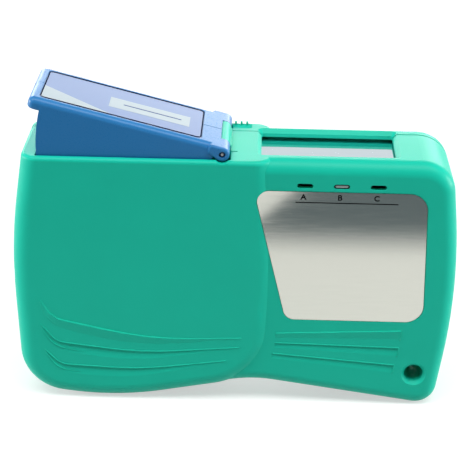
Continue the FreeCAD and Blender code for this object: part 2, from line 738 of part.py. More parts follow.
def rear_cover(shell):
    """Rear moulding with axle bosses and the ribbed thumb latch at its top edge."""
    takeup_boss = ring(TAKEUP_X, TAKEUP_Z, AXLE_RADIUS + BOSS_WALL, AXLE_RADIUS + RUN_FIT,
                       FLANGE_OUT + GEAR_GAP, HOUSING_IN)
    supply_boss = ring(SUPPLY_X, SUPPLY_Z, AXLE_RADIUS + BOSS_WALL, AXLE_RADIUS + RUN_FIT,
                       FLANGE_OUT + GEAR_GAP, BODY_IN)
    pad_z = CASE_TOP - LATCH_RECESS
    back = LATCH_FRONT + LATCH_DEPTH
    pad = polygon([V(LATCH_LEFT, LATCH_FRONT, CASE_TOP), V(LATCH_LEFT, LATCH_FRONT, pad_z),
                   V(LATCH_LEFT, back, CASE_TOP)])
    cover = joined(shell, takeup_boss, supply_boss).cut(pad.extrude(V(LATCH_LENGTH, 0, 0)))
    ridges = []
    for i in range(RIDGE_COUNT):
        x = LATCH_LEFT + RIDGE_START + i * RIDGE_PITCH - RIDGE_THICK / 2
        ridges.append(box(x, x + RIDGE_THICK, back - RIDGE_LENGTH, back, pad_z, CASE_TOP + RIDGE_RISE))
    return strap_mouth(joined(cover, *ridges), BODY_BACK)


def raised(shape):
    """A lever piece turned up from its level pose to its rest."""
    turned = shape.copy()
    turned.rotate(V(PIVOT_X, 0, PIVOT_Z), UP_Y, REST_ANGLE)
    return turned


def flat_rectangle(x0, x1, half, corner, z, right_corner):
    """Rectangle in a level plane with rounded corners."""
    outline = rounded([
        (x0, -half, corner),
        (x1, -half, right_corner),
        (x1, half, right_corner),
        (x0, half, corner),
    ])
    outline.rotate(V(0, 0, 0), V(1, 0, 0), -90)
    outline.translate(V(0, 0, z))
    return outline


def lever_form():
    """Whole lever in its level pose, hollow underneath."""
    right = PIVOT_X - EAR_RADIUS - EAR_GAP
    left = PIVOT_X - LEVER_LENGTH
    plate = flat_rectangle(left, PIVOT_X, LEVER_HALF, LEVER_CORNER, PIVOT_Z - LIP_UNDER, 0)
    plate = plate.extrude(UP_Z * (LEVER_TOP + LIP_UNDER))
    rims = edges_on(plate, lambda p: near(p.z, PIVOT_Z + LEVER_TOP))
    ends = edges_on(plate, lambda p: near(p.x, PIVOT_X))
    plate = plate.makeFillet(LEVER_ROUND, [e for e in rims if not any(e.isSame(c) for c in ends)])
    lips = edges_on(plate, lambda p: near(p.z, PIVOT_Z - LIP_UNDER) and p.x < left + 2 * LEVER_CORNER)
    plate = plate.makeFillet(LEVER_ROUND / 2, lips)
    wedge_top = PIVOT_Z + LEVER_TOP - LEVER_ROUND
    wedge = polygon([V(right, 0, wedge_top), V(left, 0, wedge_top),
                     V(left, 0, PIVOT_Z - WEDGE_DEEP), V(right, 0, PIVOT_Z - WEDGE_SHALLOW)])
    wedge = prism(wedge, -LEVER_HALF, LEVER_HALF)
    wedge = wedge.common(rod(PIVOT_X, PIVOT_Z, WEDGE_RADIUS, -LEVER_HALF, LEVER_HALF))
    inner = LEVER_HALF - LEVER_SKIN
    hollow_top = PIVOT_Z + LEVER_TOP - LEVER_ROUND - LABEL_RECESS
    hollow = box(left, right - LEVER_SKIN, -inner, inner, PIVOT_Z - 2 * WEDGE_DEEP, hollow_top)
    hollow = hollow.common(rod(PIVOT_X, PIVOT_Z, WEDGE_RADIUS - LEVER_SKIN, -inner, inner))
    label_bed = label_plate(0.0, PIVOT_Z + LEVER_TOP - LABEL_RECESS, 2 * LABEL_RECESS)
    top = PIVOT_Z + LEVER_TOP
    parting = box(left, PIVOT_X, -PARTING_HALF, PARTING_HALF, top - PARTING_DEPTH, top)
    parting = parting.fuse(box(left, left + PARTING_DEPTH, -PARTING_HALF, PARTING_HALF,
                               PIVOT_Z - LIP_UNDER, top))
    barrel = rod(PIVOT_X, PIVOT_Z, EAR_RADIUS + KNUCKLE_GAP, -LEVER_HALF, LEVER_HALF)
    return joined(plate, wedge).cut(hollow).cut(label_bed).cut(parting).cut(barrel)


def label_plate(play, z, thickness):
    """Flat plate of the lever label's outline."""
    x0 = PIVOT_X - LEVER_LENGTH + LABEL_MARGIN_LEFT + play
    x1 = PIVOT_X - LABEL_RIGHT - play
    half = LEVER_HALF - LABEL_SIDE - play
    face = flat_rectangle(x0, x1, half, LABEL_CORNER, z, LABEL_CORNER)
    return face.extrude(UP_Z * thickness)


def ear(front, back):
    """Lever ear round the hinge pin, with a nose that runs into the lever and a softened outer face."""
    r = EAR_RADIUS
    face = rounded([
        (PIVOT_X - EAR_LENGTH, PIVOT_Z + r, EAR_CORNER),
        (PIVOT_X - EAR_LENGTH, PIVOT_Z - r / 6, EAR_CORNER),
        (PIVOT_X - r / 3, PIVOT_Z - r, r),
        (PIVOT_X + r, PIVOT_Z - r, r * FULL_ROUND),
        (PIVOT_X + r, PIVOT_Z + r, r * FULL_ROUND),
    ])
    block = prism(face, front, back)
    outer = front if front < 0 else back
    return block.makeFillet(EAR_EDGE, edges_on(block, lambda p: near(p.y, outer)))


def sector_arm():
    """Toothed sector in the plane of the lever's front wall, with the arm that carries it."""
    pitch_angle = 360 / SECTOR_TEETH
    level_angle = MESH_ANGLE + REST_ANGLE
    before = round((REST_ANGLE + SECTOR_SPARE) / pitch_angle)
    after = round(SECTOR_AFTER / pitch_angle)
    steps = before + after + 1
    teeth = gear_points(PIVOT_X, PIVOT_Z, SECTOR_TEETH, DRIVE_MODULE, level_angle, -before, steps)
    first = level_angle - (before + 0.5) * pitch_angle
    last = level_angle + (after + 0.5) * pitch_angle
    pivot = V(PIVOT_X, 0, PIVOT_Z)
    inside = SECTOR_RADIUS - TOOTH_ROOT * DRIVE_MODULE - SECTOR_RIM
    arc = [pivot + unit(last - (last - first) * i / steps) * inside for i in range(steps + 1)]
    rim = prism(polygon(teeth + arc), SECTOR_FRONT, SECTOR_BACK)
    arm_last = first + (last - first) * ARM_SHARE
    right = PIVOT_X - EAR_RADIUS - EAR_GAP
    arm = polygon([V(right - ARM_ROOT, 0, PIVOT_Z - WEDGE_SHALLOW),
                   pivot + unit(first) * (inside + SECTOR_RIM / 2),
                   pivot + unit(arm_last) * (inside + SECTOR_RIM / 2),
                   V(right, 0, PIVOT_Z - WEDGE_SHALLOW / 2)])
    return joined(rim, prism(arm, SECTOR_FRONT, SECTOR_BACK))


def lever_halves():
    """Front and rear halves of the lever, raised to rest."""
    whole = lever_form()
    far = CASE_LENGTH
    halves = []
    for front, back, other in ((-EAR_FACE, -EAR_INNER, (0, far)), (EAR_INNER, EAR_FACE, (-far, 0))):
        half = whole.cut(box(-far, far, *other, -far, 2 * far))
        half = joined(half, ear(front, back))
        if back < 0:
            half = joined(half, sector_arm())
        halves.append(raised(half.cut(rod(PIVOT_X, PIVOT_Z, HINGE_PIN_RADIUS + RUN_FIT, front, back))))
    return halves


def mesh_angle_of_idler():
    """Direction from the take-up axle to the idler axle."""
    return math.degrees(math.atan2(IDLER_Z - TAKEUP_Z, IDLER_X - TAKEUP_X))


def drive_wheel():
    """Pinion and wheel in one moulding, with spring fingers inside the wheel's rim."""
    pinion_gap = MESH_ANGLE + HALF_TURN + HALF_TURN / PINION_TEETH
    pinion = gear(TAKEUP_X, TAKEUP_Z, PINION_TEETH, DRIVE_MODULE, pinion_gap, SECTOR_FRONT, WHEEL_FRONT)
    wheel = gear(TAKEUP_X, TAKEUP_Z, WHEEL_TEETH, SHUTTER_MODULE, mesh_angle_of_idler(),
                 WHEEL_FRONT, WHEEL_BACK)
    inner = WHEEL_RADIUS - TOOTH_ROOT * SHUTTER_MODULE - WHEEL_RIM
    wheel = wheel.cut(rod(TAKEUP_X, TAKEUP_Z, inner, WHEEL_FRONT + WHEEL_WEB, WHEEL_BACK))
    fingers = [pawl(start, inner) for start in (0, HALF_TURN)]
    bore = rod(TAKEUP_X, TAKEUP_Z, AXLE_RADIUS + RUN_FIT, SECTOR_FRONT, WHEEL_BACK)
    return joined(wheel, pinion, *fingers).cut(bore)


def pawl(start, inner):
    """Curved spring finger from the wheel's rim in to the ratchet."""
    tip = RATCHET_RADIUS + PAWL_GAP + PAWL_THICK / 2
    root = inner + PAWL_THICK / 2
    centre = V(TAKEUP_X, 0, TAKEUP_Z)
    points = []
    for i in range(PAWL_POINTS):
        share = i / (PAWL_POINTS - 1)
        at = centre + unit(start + PAWL_SWEEP * share) * (root + (tip - root) * share)
        points.append((at.x, at.z, 0))
    return prism(ribbon(points, PAWL_THICK), WHEEL_FRONT + WHEEL_WEB + GEAR_GAP / 2, WHEEL_BACK)


def shutter_idler():
    """Gear between the drive wheel and the shutter's rack."""
    gap = mesh_angle_of_idler() + HALF_TURN + HALF_TURN / IDLER_TEETH
    blank = gear(IDLER_X, IDLER_Z, IDLER_TEETH, SHUTTER_MODULE, gap, WHEEL_FRONT, WHEEL_BACK)
    return blank.cut(rod(IDLER_X, IDLER_Z, AXLE_RADIUS + RUN_FIT, WHEEL_FRONT, WHEEL_BACK))


def shutter_carriage():
    """Rack bar under the shutter's front edge, in mesh with the idler."""
    pitch = math.pi * SHUTTER_MODULE
    gap = mesh_angle_of_idler() + HALF_TURN + HALF_TURN / IDLER_TEETH
    step = 360 / IDLER_TEETH
    lead = (gap - HALF_TURN / 2) % step
    space = IDLER_X - IDLER_RADIUS * math.radians(lead)
    slope = math.tan(math.radians(PRESSURE_ANGLE))
    top = RACK_Z - TOOTH_TOP * SHUTTER_MODULE
    root = RACK_Z + TOOTH_ROOT * SHUTTER_MODULE
    half = (pitch - 2 * BACKLASH) / 4
    low = half - TOOTH_TOP * SHUTTER_MODULE * slope
    high = half + TOOTH_ROOT * SHUTTER_MODULE * slope
    first = math.ceil((RACK_LEFT - space) / pitch)
    last = math.floor((RACK_RIGHT - space) / pitch)
    points = [V(RACK_RIGHT, 0, SHUTTER_UNDER), V(RACK_LEFT, 0, SHUTTER_UNDER), V(RACK_LEFT, 0, root)]
    for i in range(first, last):
        middle = space + (i + 0.5) * pitch
        points.append(V(middle - high, 0, root))
        points.append(V(middle - low, 0, top))
        points.append(V(middle + low, 0, top))
        points.append(V(middle + high, 0, root))
    points.append(V(RACK_RIGHT, 0, root))
    return prism(polygon(points), WHEEL_FRONT, WHEEL_BACK)


def shutter():
    """Polished plate that closes the window from below."""
    half = WINDOW_HALF + SHUTTER_LAP
    reach = min(RACK_LEFT, WINDOW_LEFT - SHUTTER_LAP)
    plate = box(WINDOW_LEFT - SHUTTER_LAP, WINDOW_RIGHT + SHUTTER_LAP, -half, half,
                SHUTTER_UNDER, SHUTTER_TOP)
    tail = box(reach, WINDOW_LEFT, WHEEL_FRONT, WHEEL_BACK, SHUTTER_UNDER, SHUTTER_TOP)
    return joined(plate, tail)


def reel(x, z):
    """Spool with two flanges and a bored hub."""
    spool = joined(
        rod(x, z, HUB_RADIUS, -FLANGE_OUT, FLANGE_OUT),
        rod(x, z, FLANGE_RADIUS, -FLANGE_OUT, -FLANGE_IN),
        rod(x, z, FLANGE_RADIUS, FLANGE_IN, FLANGE_OUT),
    )
    return spool.cut(rod(x, z, AXLE_RADIUS + RUN_FIT, -CASE_DEPTH, CASE_DEPTH))


def takeup_reel():
    """Driven spool: a ratchet on its front face and fine teeth on its rear rim."""
    ratchet = saw_wheel(TAKEUP_X, TAKEUP_Z, RATCHET_RADIUS, RATCHET_DEPTH, RATCHET_TEETH,
                        WHEEL_FRONT + WHEEL_WEB + GEAR_GAP, -FLANGE_OUT)
    ratchet = ratchet.cut(rod(TAKEUP_X, TAKEUP_Z, AXLE_RADIUS + RUN_FIT, -CASE_DEPTH, CASE_DEPTH))
    rim = ring(TAKEUP_X, TAKEUP_Z, FLANGE_RADIUS, FLANGE_RADIUS - BACKSTOP_DEPTH, FLANGE_IN, FLANGE_OUT)
    teeth = saw_wheel(TAKEUP_X, TAKEUP_Z, FLANGE_RADIUS, BACKSTOP_DEPTH, BACKSTOP_TEETH,
                      FLANGE_IN, FLANGE_OUT)
    return joined(reel(TAKEUP_X, TAKEUP_Z).cut(rim.cut(teeth)), ratchet)


def pack(x, z, radius):
    """Wound tape on a hub."""
    return ring(x, z, radius, HUB_RADIUS, -TAPE_HALF, TAPE_HALF)


def touching_line(first, second):
    """Points where a straight run touches two circles given as (x, z, radius).

    A negative radius puts its circle on the other side of the run.
    """
    gap = V(second[0] - first[0], 0, second[1] - first[1])
    lean = math.asin((first[2] - second[2]) / gap.Length)
    heading = math.atan2(gap.z, gap.x)
    side = unit(math.degrees(heading + math.pi / 2 - lean))
    return V(first[0], 0, first[1]) + side * first[2], V(second[0], 0, second[1]) + side * second[2]


def run_line(points):
    """Line through the two ends of a straight run."""
    start, stop = points
    return start, (stop - start).normalize()


def tape():
    """Run of tape from the supply roll over both guide pins to the take-up roll."""
    lift = TAPE_THICK / 2
    wrap = GUIDE_RADIUS + lift
    supply = (SUPPLY_X, SUPPLY_Z, SUPPLY_PACK + PACK_GAP)
    takeup = (TAKEUP_X, TAKEUP_Z, TAKEUP_PACK + PACK_GAP)
    right_run = touching_line((GUIDE_RIGHT_X, GUIDE_Z, wrap), supply)
    left_run = touching_line((GUIDE_LEFT_X, GUIDE_Z, -wrap), takeup)
    over = level(TAPE_Z)
    path = [
        (right_run[1].x, right_run[1].z, 0),
        (*meet(run_line(right_run), over), wrap),
        (*meet(run_line(left_run), over), wrap),
        (left_run[1].x, left_run[1].z, 0),
    ]
    return prism(ribbon(path, TAPE_THICK), -TAPE_HALF, TAPE_HALF)


def platen():
    """Channel under the window that carries the pad, the guide pins and the slot plate."""
    base = box(PLATEN_LEFT, PLATEN_RIGHT, -CHEEK_IN, CHEEK_IN, PLATEN_UNDER, PLATEN_TOP)
    pieces = [base]
    for side in (-1, 1):
        inner, outer = sorted((side * CHEEK_IN, side * CHEEK_OUT))
        pieces.append(box(GUIDE_LEFT_X - CHEEK_END, GUIDE_RIGHT_X + CHEEK_END, inner, outer,
                          PLATEN_UNDER, PAD_TOP + CHEEK_OVER))
        pieces.append(box(PLATEN_LEFT, PLATEN_RIGHT, inner, outer, PLATEN_UNDER, SHUTTER_UNDER - RUN_FIT))
        inner, outer = sorted((side * CHEEK_IN, side * (CHEEK_IN - LEDGE_WIDTH)))
        pieces.append(box(PLATEN_LEFT, PLATEN_RIGHT, inner, outer, PLATEN_TOP, slot_plate_under()))
    channel = joined(*pieces)
    for x in (GUIDE_LEFT_X, GUIDE_RIGHT_X):
        channel = channel.cut(rod(x, GUIDE_Z, GUIDE_RADIUS, -CHEEK_OUT, CHEEK_OUT))
    return channel


def slot_plate_under():
    """Height of the slot plate's underside, clear of the tape."""
    return TAPE_Z + TAPE_THICK / 2 + SLOT_PLATE_GAP


def slot_plate():
    """Plate over the tape with two wiping slots."""
    z = slot_plate_under()
    plate = box(PLATEN_LEFT, PLATEN_RIGHT, -CHEEK_IN, CHEEK_IN, z, z + SLOT_PLATE_THICK)
    for side in (-1, 1):
        y = side * WIPE_OFFSET
        plate = plate.cut(box(PLATEN_LEFT + WIPE_MARGIN, PLATEN_RIGHT - WIPE_MARGIN,
                              y - WIPE_WIDTH / 2, y + WIPE_WIDTH / 2, z, z + SLOT_PLATE_THICK))
    return plate


def platen_pad():
    """Rubber pad that backs the tape."""
    return box(PLATEN_LEFT + PAD_INSET, PLATEN_RIGHT - PAD_INSET, -TAPE_HALF, TAPE_HALF,
               PLATEN_TOP, PAD_TOP)


def guide_pins():
    """Two steel pins across the channel's ends."""
    return Part.makeCompound([rod(x, GUIDE_Z, GUIDE_RADIUS, -CHEEK_OUT, CHEEK_OUT)
                              for x in (GUIDE_LEFT_X, GUIDE_RIGHT_X)])


def type_indicator():
    """Slide behind the middle type slot with a peg in it."""
    middle = SLOT_COUNT // 2
    x = SLOT_X + middle * SLOT_STEP
    back = -BODY_IN + SLIDE_THICK
    slide = box(x - SLOT_LENGTH, x + SLOT_LENGTH, -BODY_IN, back,
                SLOT_Z - SLOT_HEIGHT, SLOT_Z + SLOT_HEIGHT)
    peg = prism(slot_face(middle, RUN_FIT), BODY_FRONT + PANEL_RECESS, back)
    return joined(slide, peg)


def leaf_root():
    """Where the backstop spring leaves its post, beside the take-up reel's rim."""
    return TAKEUP_X - FLANGE_RADIUS - POST_SIZE / 2, TAKEUP_Z + LEAF_LENGTH


def backstop_spring():
    """Leaf spring whose tip lies against the fine teeth of the take-up reel."""
    x, z = leaf_root()
    tip_x = TAKEUP_X - FLANGE_RADIUS - PAWL_GAP - LEAF_THICK
    path = [
        (x + LEAF_THICK / 2, z + POST_SIZE / 2, 0),
        (x + LEAF_THICK / 2, z - POST_SIZE / 2, 4 * LEAF_THICK),
        (tip_x, TAKEUP_Z, 0),
    ]
    return prism(ribbon(path, LEAF_THICK), SPLIT - LEAF_WIDTH, SPLIT)


def return_spring():
    """Coil spring that lifts the lever."""
    reach = PIVOT_X - SPRING_X - SPRING_RADIUS - SPRING_WIRE
    under = PIVOT_Z + reach * math.tan(math.radians(REST_ANGLE))
    height = under - SPRING_FOOT_Z - SPRING_WIRE
    half = SPRING_WIRE / 2
    steps = SPRING_TURNS * SPRING_SIDES
    sections = []
    for i in range(steps + 1):
        turn = math.radians(i * 360 / SPRING_SIDES)
        out = V(math.cos(turn), math.sin(turn), 0)
        middle = V(SPRING_X, 0, SPRING_FOOT_Z + half + height * i / steps) + out * SPRING_RADIUS
        corners = [middle + out * (a * half) + UP_Z * (b * half)
                   for a, b in ((-1, -1), (1, -1), (1, 1), (-1, 1))]
        sections.append(Part.makePolygon(corners + corners[:1]))
    return Part.makeLoft(sections, True, True)


def brake_felt():
    """Felt ring that drags on the supply reel."""
    front = -FLANGE_OUT - FELT_THICK - GEAR_GAP
    return ring(SUPPLY_X, SUPPLY_Z, FELT_RADIUS, AXLE_RADIUS, front, front + FELT_THICK)


def nameplate():
    """Silver panel in the recess of the front face."""
    floor_y = BODY_FRONT + PANEL_RECESS
    return prism(panel_face(PANEL_PLAY), floor_y - PANEL_THICK, floor_y)


def hinge_pin():
    """Pin through the ears and the knuckle, sunk a little, with bevelled ends."""
    end = EAR_FACE - PIN_SINK
    pin = rod(PIVOT_X, PIVOT_Z, HINGE_PIN_RADIUS, -end, end)
    return pin.makeChamfer(PIN_BEVEL, edges_on(pin, lambda p: near(abs(p.y), end)))


def build():
    """Every piece by its name."""
    front, rear = shells()
    lever_front, lever_rear = lever_halves()
    axle_back = BODY_IN - GEAR_GAP
    label_z = PIVOT_Z + LEVER_TOP - LABEL_RECESS
    return {
        "front_case": front,
        "rear_cover": rear,
        "nameplate": nameplate(),
        "type_indicator": type_indicator(),
        "hinge_pin": hinge_pin(),
        "lever_front": lever_front,
        "lever_rear": lever_rear,
        "lever_label": raised(label_plate(LABEL_PLAY, label_z, LABEL_THICK)),
        "shutter": shutter(),
        "shutter_carriage": shutter_carriage(),
        "drive_wheel": drive_wheel(),
        "shutter_idler": shutter_idler(),
        "idler_axle": rod(IDLER_X, IDLER_Z, AXLE_RADIUS, -HOUSING_IN - AXLE_SEAT, WHEEL_BACK + GEAR_GAP),
        "takeup_axle": rod(TAKEUP_X, TAKEUP_Z, AXLE_RADIUS, -HOUSING_IN - AXLE_SEAT, axle_back),
        "takeup_reel": takeup_reel(),
        "takeup_roll": pack(TAKEUP_X, TAKEUP_Z, TAKEUP_PACK),
        "supply_axle": rod(SUPPLY_X, SUPPLY_Z, AXLE_RADIUS, -BODY_IN - AXLE_SEAT, axle_back),
        "supply_reel": reel(SUPPLY_X, SUPPLY_Z),
        "supply_roll": pack(SUPPLY_X, SUPPLY_Z, SUPPLY_PACK),
        "brake_felt": brake_felt(),
        "tape": tape(),
        "platen": platen(),
        "platen_pad": platen_pad(),
        "slot_plate": slot_plate(),
        "guide_pins": guide_pins(),
        "backstop_spring": backstop_spring(),
        "return_spring": return_spring(),
    }


os.makedirs("parts", exist_ok=True)
for name, shape in build().items():
    shape.exportStep("parts/" + name + ".step")
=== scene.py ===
"""Looks of a hand-held reel cleaner for fibre connectors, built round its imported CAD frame."""

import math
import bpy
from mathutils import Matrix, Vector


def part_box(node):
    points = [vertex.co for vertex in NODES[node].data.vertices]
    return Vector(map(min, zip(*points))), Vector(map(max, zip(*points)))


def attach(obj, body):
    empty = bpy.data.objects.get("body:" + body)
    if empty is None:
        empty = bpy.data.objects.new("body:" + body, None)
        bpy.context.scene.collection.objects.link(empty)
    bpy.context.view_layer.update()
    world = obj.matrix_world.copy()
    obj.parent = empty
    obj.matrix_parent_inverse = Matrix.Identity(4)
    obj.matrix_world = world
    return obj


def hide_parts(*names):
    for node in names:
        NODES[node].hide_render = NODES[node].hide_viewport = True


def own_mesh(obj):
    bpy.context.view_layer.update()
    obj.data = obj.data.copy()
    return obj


bl_info = {
    "name": "Fibre Connector Cleaner",
    "version": (1, 0, 0),
    "blender": (4, 5, 0),
    "location": "View3D > Sidebar > Cleaner",
    "description": "Finishes, print and studio stage for a hand-held fibre connector cleaner",
    "category": "Object",
}

import bmesh
import bpy
from bpy.props import FloatProperty, FloatVectorProperty, IntProperty, PointerProperty
from mathutils import Matrix, Vector

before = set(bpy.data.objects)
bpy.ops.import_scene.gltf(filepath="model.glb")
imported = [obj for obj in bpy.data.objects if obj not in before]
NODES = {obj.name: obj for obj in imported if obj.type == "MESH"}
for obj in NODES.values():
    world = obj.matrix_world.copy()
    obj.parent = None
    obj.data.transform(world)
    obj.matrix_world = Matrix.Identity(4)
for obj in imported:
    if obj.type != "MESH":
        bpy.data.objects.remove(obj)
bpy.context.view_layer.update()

# The frame is in metres. Its directions, and the place of a mesh that is made in the frame itself
MM = 0.001
RIGHT = Vector((1, 0, 0))
FRONT = Vector((0, -1, 0))
BACK = Vector((0, 1, 0))
UP = Vector((0, 0, 1))
IN_FRAME = Matrix.Identity(4)

# Sockets of a Mix node set to colours: the share, the two colours and the result
MIX_SHARE = 0
MIX_FROM = 6
MIX_TO = 7
MIX_RESULT = 2
# Most values of a noise lie between these
NOISE_LOW = 0.3
NOISE_HIGH = 0.7
# Length of one band of a Wave node at scale 1
WAVE_LENGTH = math.tau / 20

# A face belongs to a side when the cosine between its normal and that side is more than this
FACING = 0.9
# Steps in each round corner or half-round end of a flat outline
CORNER_STEPS = 6
# How far a letter's outline is drawn out, as a share of the font's size
LETTER_WEIGHT = 0.03
# From one type slot to the next, and how far left of its slot's middle a letter stands
SLOT_STEP = 10.5 * MM
LETTER_SHIFT = 0.35 * MM
# Radius of the painted shade's outer corners, and the pale corner's run along the lever for each unit of its
# rise
LABEL_CORNER = 1.8 * MM
CORNER_SLOPE = 2.23

# Steps in a turn of the coil, sides of its wire, and rise of a closed turn in wire diameters
COIL_STEPS = 32
WIRE_SIDES = 10
CLOSED_PITCH = 1.05

# Upper edges of the grips, a rib with two grooves below it on each face: corners in millimetres from the
# case's left end and from the floor, with the radius of the bend there
HOUSING_GRIPS = (
    ((7.9, 34.1, 0), (11.5, 28.0, 6), (41.0, 21.5, 100), (68.0, 22.6, 0)),
    ((8.0, 25.6, 0), (12.5, 19.9, 6), (38.0, 16.8, 100), (67.5, 19.4, 0)),
    ((8.9, 17.1, 0), (13.5, 12.2, 6), (37.0, 11.0, 100), (63.7, 14.7, 0)),
)
BODY_GRIPS = (
    ((78.2, 24.2, 0), (115.6, 26.0, 0.3), (115.4, 22.6, 0)),
    ((78.1, 20.9, 0), (115.2, 20.2, 0.3), (114.8, 17.0, 0)),
    ((77.4, 17.2, 0), (114.2, 14.2, 0.3), (113.8, 11.4, 0)),
)
# How far the rib stands off the housing's face, and how far the body's face lies behind that face
RIB_RISE = 0.45 * MM
BODY_SET_BACK = 0.9 * MM
# Steps in a bend of an edge, and the length of a step along it in millimetres
BEND_STEPS = 8
RUN_STEP = 1.0
# Sides of a bead, and the share of its radius that it starts with
BEAD_SIDES = 8
BEAD_TIP = 0.1
# Share of an edge that its hook doubles back along, and share of the hook in which its bead grows
HOOK_SHARE = 0.28
HOOK_GROWTH = 0.5

# Softboxes: name, property with the power, and in metres the middle, the point it faces, and width and height
SOFTBOXES = (
    ("top_softbox", "top_power", (0.0, -0.25, 0.87), (0.0, 0.0, 0.05), (1.6, 0.4)),
    ("back_softbox", "back_power", (0.0, 0.9, 0.27), (0.0, 0.0, 0.08), (1.2, 0.19)),
    ("left_softbox", "side_power", (-0.9, 0.05, 0.17), (0.0, 0.0, 0.05), (0.4, 0.25)),
    ("right_softbox", "side_power", (0.9, 0.05, 0.17), (0.0, 0.0, 0.05), (0.4, 0.25)),
)
# Half the floor's side in metres, and the glow that keeps it white to the eye
FLOOR_REACH = 2.0
FLOOR_GLOW = 0.55
# Outline of the grey card in front, in millimetres: two parts that meet in a corner, a wedge of floor between
CARD_OUTLINE = (
    (-260, -112), (-260, -500), (-20, -500), (-20, -150), (-9, -112),
    (44, -220), (184, -500), (300, -500), (300, -112),
)
CARD_LIFT = 1 * MM
# Along Y the card is whole up to the first of these places, and has faded out at the second
CARD_WHOLE = -140 * MM
CARD_GONE = -116 * MM
# Point that the camera looks at, its sensor's width in millimetres, and where its view begins
CAMERA_TARGET = Vector((-0.114, 0.0, 49.38)) * MM
SENSOR_WIDTH = 36.0
CLIP_START = 10 * MM


def linear(hex_colour):
    """An sRGB hex value as a linear colour with full alpha."""
    shares = [int(hex_colour[i:i + 2], 16) / 255 for i in (0, 2, 4)]
    return [s / 12.92 if s <= 0.04045 else ((s + 0.055) / 1.055) ** 2.4 for s in shares] + [1.0]


def colour_property(label, meaning, hex_colour):
    """Colour that a user may change."""
    return FloatVectorProperty(name=label, description=meaning, subtype="COLOR", size=4,
                               min=0.0, max=1.0, default=linear(hex_colour))


def length_property(label, meaning, millimetres):
    """Length that a user may change, given in millimetres."""
    return FloatProperty(name=label, description=meaning, unit="LENGTH", default=millimetres * MM)


def angle_property(label, meaning, degrees):
    """Angle that a user may change, given in degrees."""
    return FloatProperty(name=label, description=meaning, subtype="ANGLE", default=math.radians(degrees))


def power_property(label, meaning, watts):
    """Power of a lamp that a user may change, given in watts."""
    return FloatProperty(name=label, description=meaning, unit="POWER", default=watts)


class CleanerColours(bpy.types.PropertyGroup):
    """Colours of the case, the lever, the panel, the print, the painted shade round the label and the
    indicator.
    """

    case: colour_property("Case", "Front case and rear cover", "12C2A6")
    lever: colour_property("Lever", "Both halves of the press lever", "2275B2")
    label: colour_property("Label ground", "Ground colour of the lever's label", "6C84AE")
    label_print: colour_property("Label print", "Pale corner and field on the lever's label", "9CACB3")
    label_line: colour_property("Label line", "Line in the pale field of the lever's label", "3F4C86")
    # Dark ring painted round the label: the shade of the recess that the label sits in
    label_recess_shade: colour_property("Label border", "Key line round the lever's label", "071430")
    panel: colour_property("Panel", "Metallised face of the front panel", "C5C6BD")
    ink: colour_property("Panel ink", "Letters and rule on the front panel", "0B0C0D")
    indicator: colour_property("Indicator", "Cap on the slide that shows in one slot", "B4BABA")


class CleanerMarks(bpy.types.PropertyGroup):
    """Sizes of the printed marks, of the painted shade round the label and of the indicator's cap."""

    film: length_property("Print thickness", "How far the print stands off its film", 0.02)
    letter: length_property("Letter height", "Height of the capitals under the slots", 1.75)
    letter_drop: length_property("Letter drop", "From the middle of a slot down to its letter", 3.4)
    rule_drop: length_property("Rule drop", "From the middle of the slots down to the rule", 5.1)
    rule_width: length_property("Rule width", "Width of the rule under the letters", 0.3)
    rule_before: length_property("Rule start", "Rule's start left of the first slot's middle", 2.6)
    rule_after: length_property("Rule end", "Rule's end right of the last slot's middle", 5.9)
    cap_length: length_property("Cap length", "Length of the indicator's light cap", 3.7)
    cap_height: length_property("Cap height", "Height of the indicator's light cap", 0.65)
    cap_rise: length_property("Cap rise", "How far the cap stands off the slide", 0.2)
    corner_rise: length_property("Corner rise", "Height of the pale corner of the label", 8.9)
    field_start: length_property("Field start", "From the label's left end to its pale field", 19.3)
    field_end: length_property("Field end", "From the pale field to the label's right end", 3.9)
    field_middle: length_property("Field middle", "Pale field's middle behind the lever's own middle", -1.0)
    field_width: length_property("Field width", "Width of the pale field", 7.6)
    stroke_start: length_property("Line start", "From the label's left end to the line in the field", 23.4)
    stroke_end: length_property("Line end", "From the line in the field to the label's right end", 6.4)
    stroke_width: length_property("Line width", "Width of the line in the field", 0.5)
    # The border is painted shade of the label's recess: its width at the sides and at the ends
    border_side: length_property("Border at the sides", "Key line along the long sides of the label", 0.85)
    border_end: length_property("Border at the ends", "Key line along the short ends of the label", 0.35)


class CleanerBeads(bpy.types.PropertyGroup):
    """Fine beads moulded along the upper edges of the grips."""

    radius: length_property("Bead radius", "Half the width of a bead", 0.16)
    hook: length_property("Hook width", "Width of a grip at its hooked end", 2.3)


class CleanerSpring(bpy.types.PropertyGroup):
    """Coil spring under the lever."""

    wire: length_property("Wire", "Diameter of the spring's wire", 0.8)
    turns: IntProperty(name="Turns", description="Turns of the coil, with one closed turn at each end",
                       min=3, default=6)
    keep: FloatProperty(name="Pressed share", subtype="FACTOR", min=0.1, max=1.0, default=0.705,
                        description="Share of its length that is left when the lever is down")


class CleanerStage(bpy.types.PropertyGroup):
    """Camera and lamps."""

    azimuth: angle_property("Azimuth", "Camera's turn to the right of the front", 1.0)
    elevation: angle_property("Elevation", "Camera's height above the horizon", 25.5)
    roll: angle_property("Roll", "Camera's turn about its line of sight", 1.0)
    distance: length_property("Distance", "Camera's distance from its target", 438.6)
    lens: FloatProperty(name="Lens", description="Focal length in millimetres", unit="CAMERA", default=111.6)
    top_power: power_property("Top lamp", "Power of the softbox overhead", 11.0)
    back_power: power_property("Back lamp", "Power of the low softbox behind", 5.6)
    side_power: power_property("Side lamps", "Power of the softbox at each side", 6.0)
    ambient: FloatProperty(name="Ambient", description="Strength of the even light on the object",
                           default=0.07)


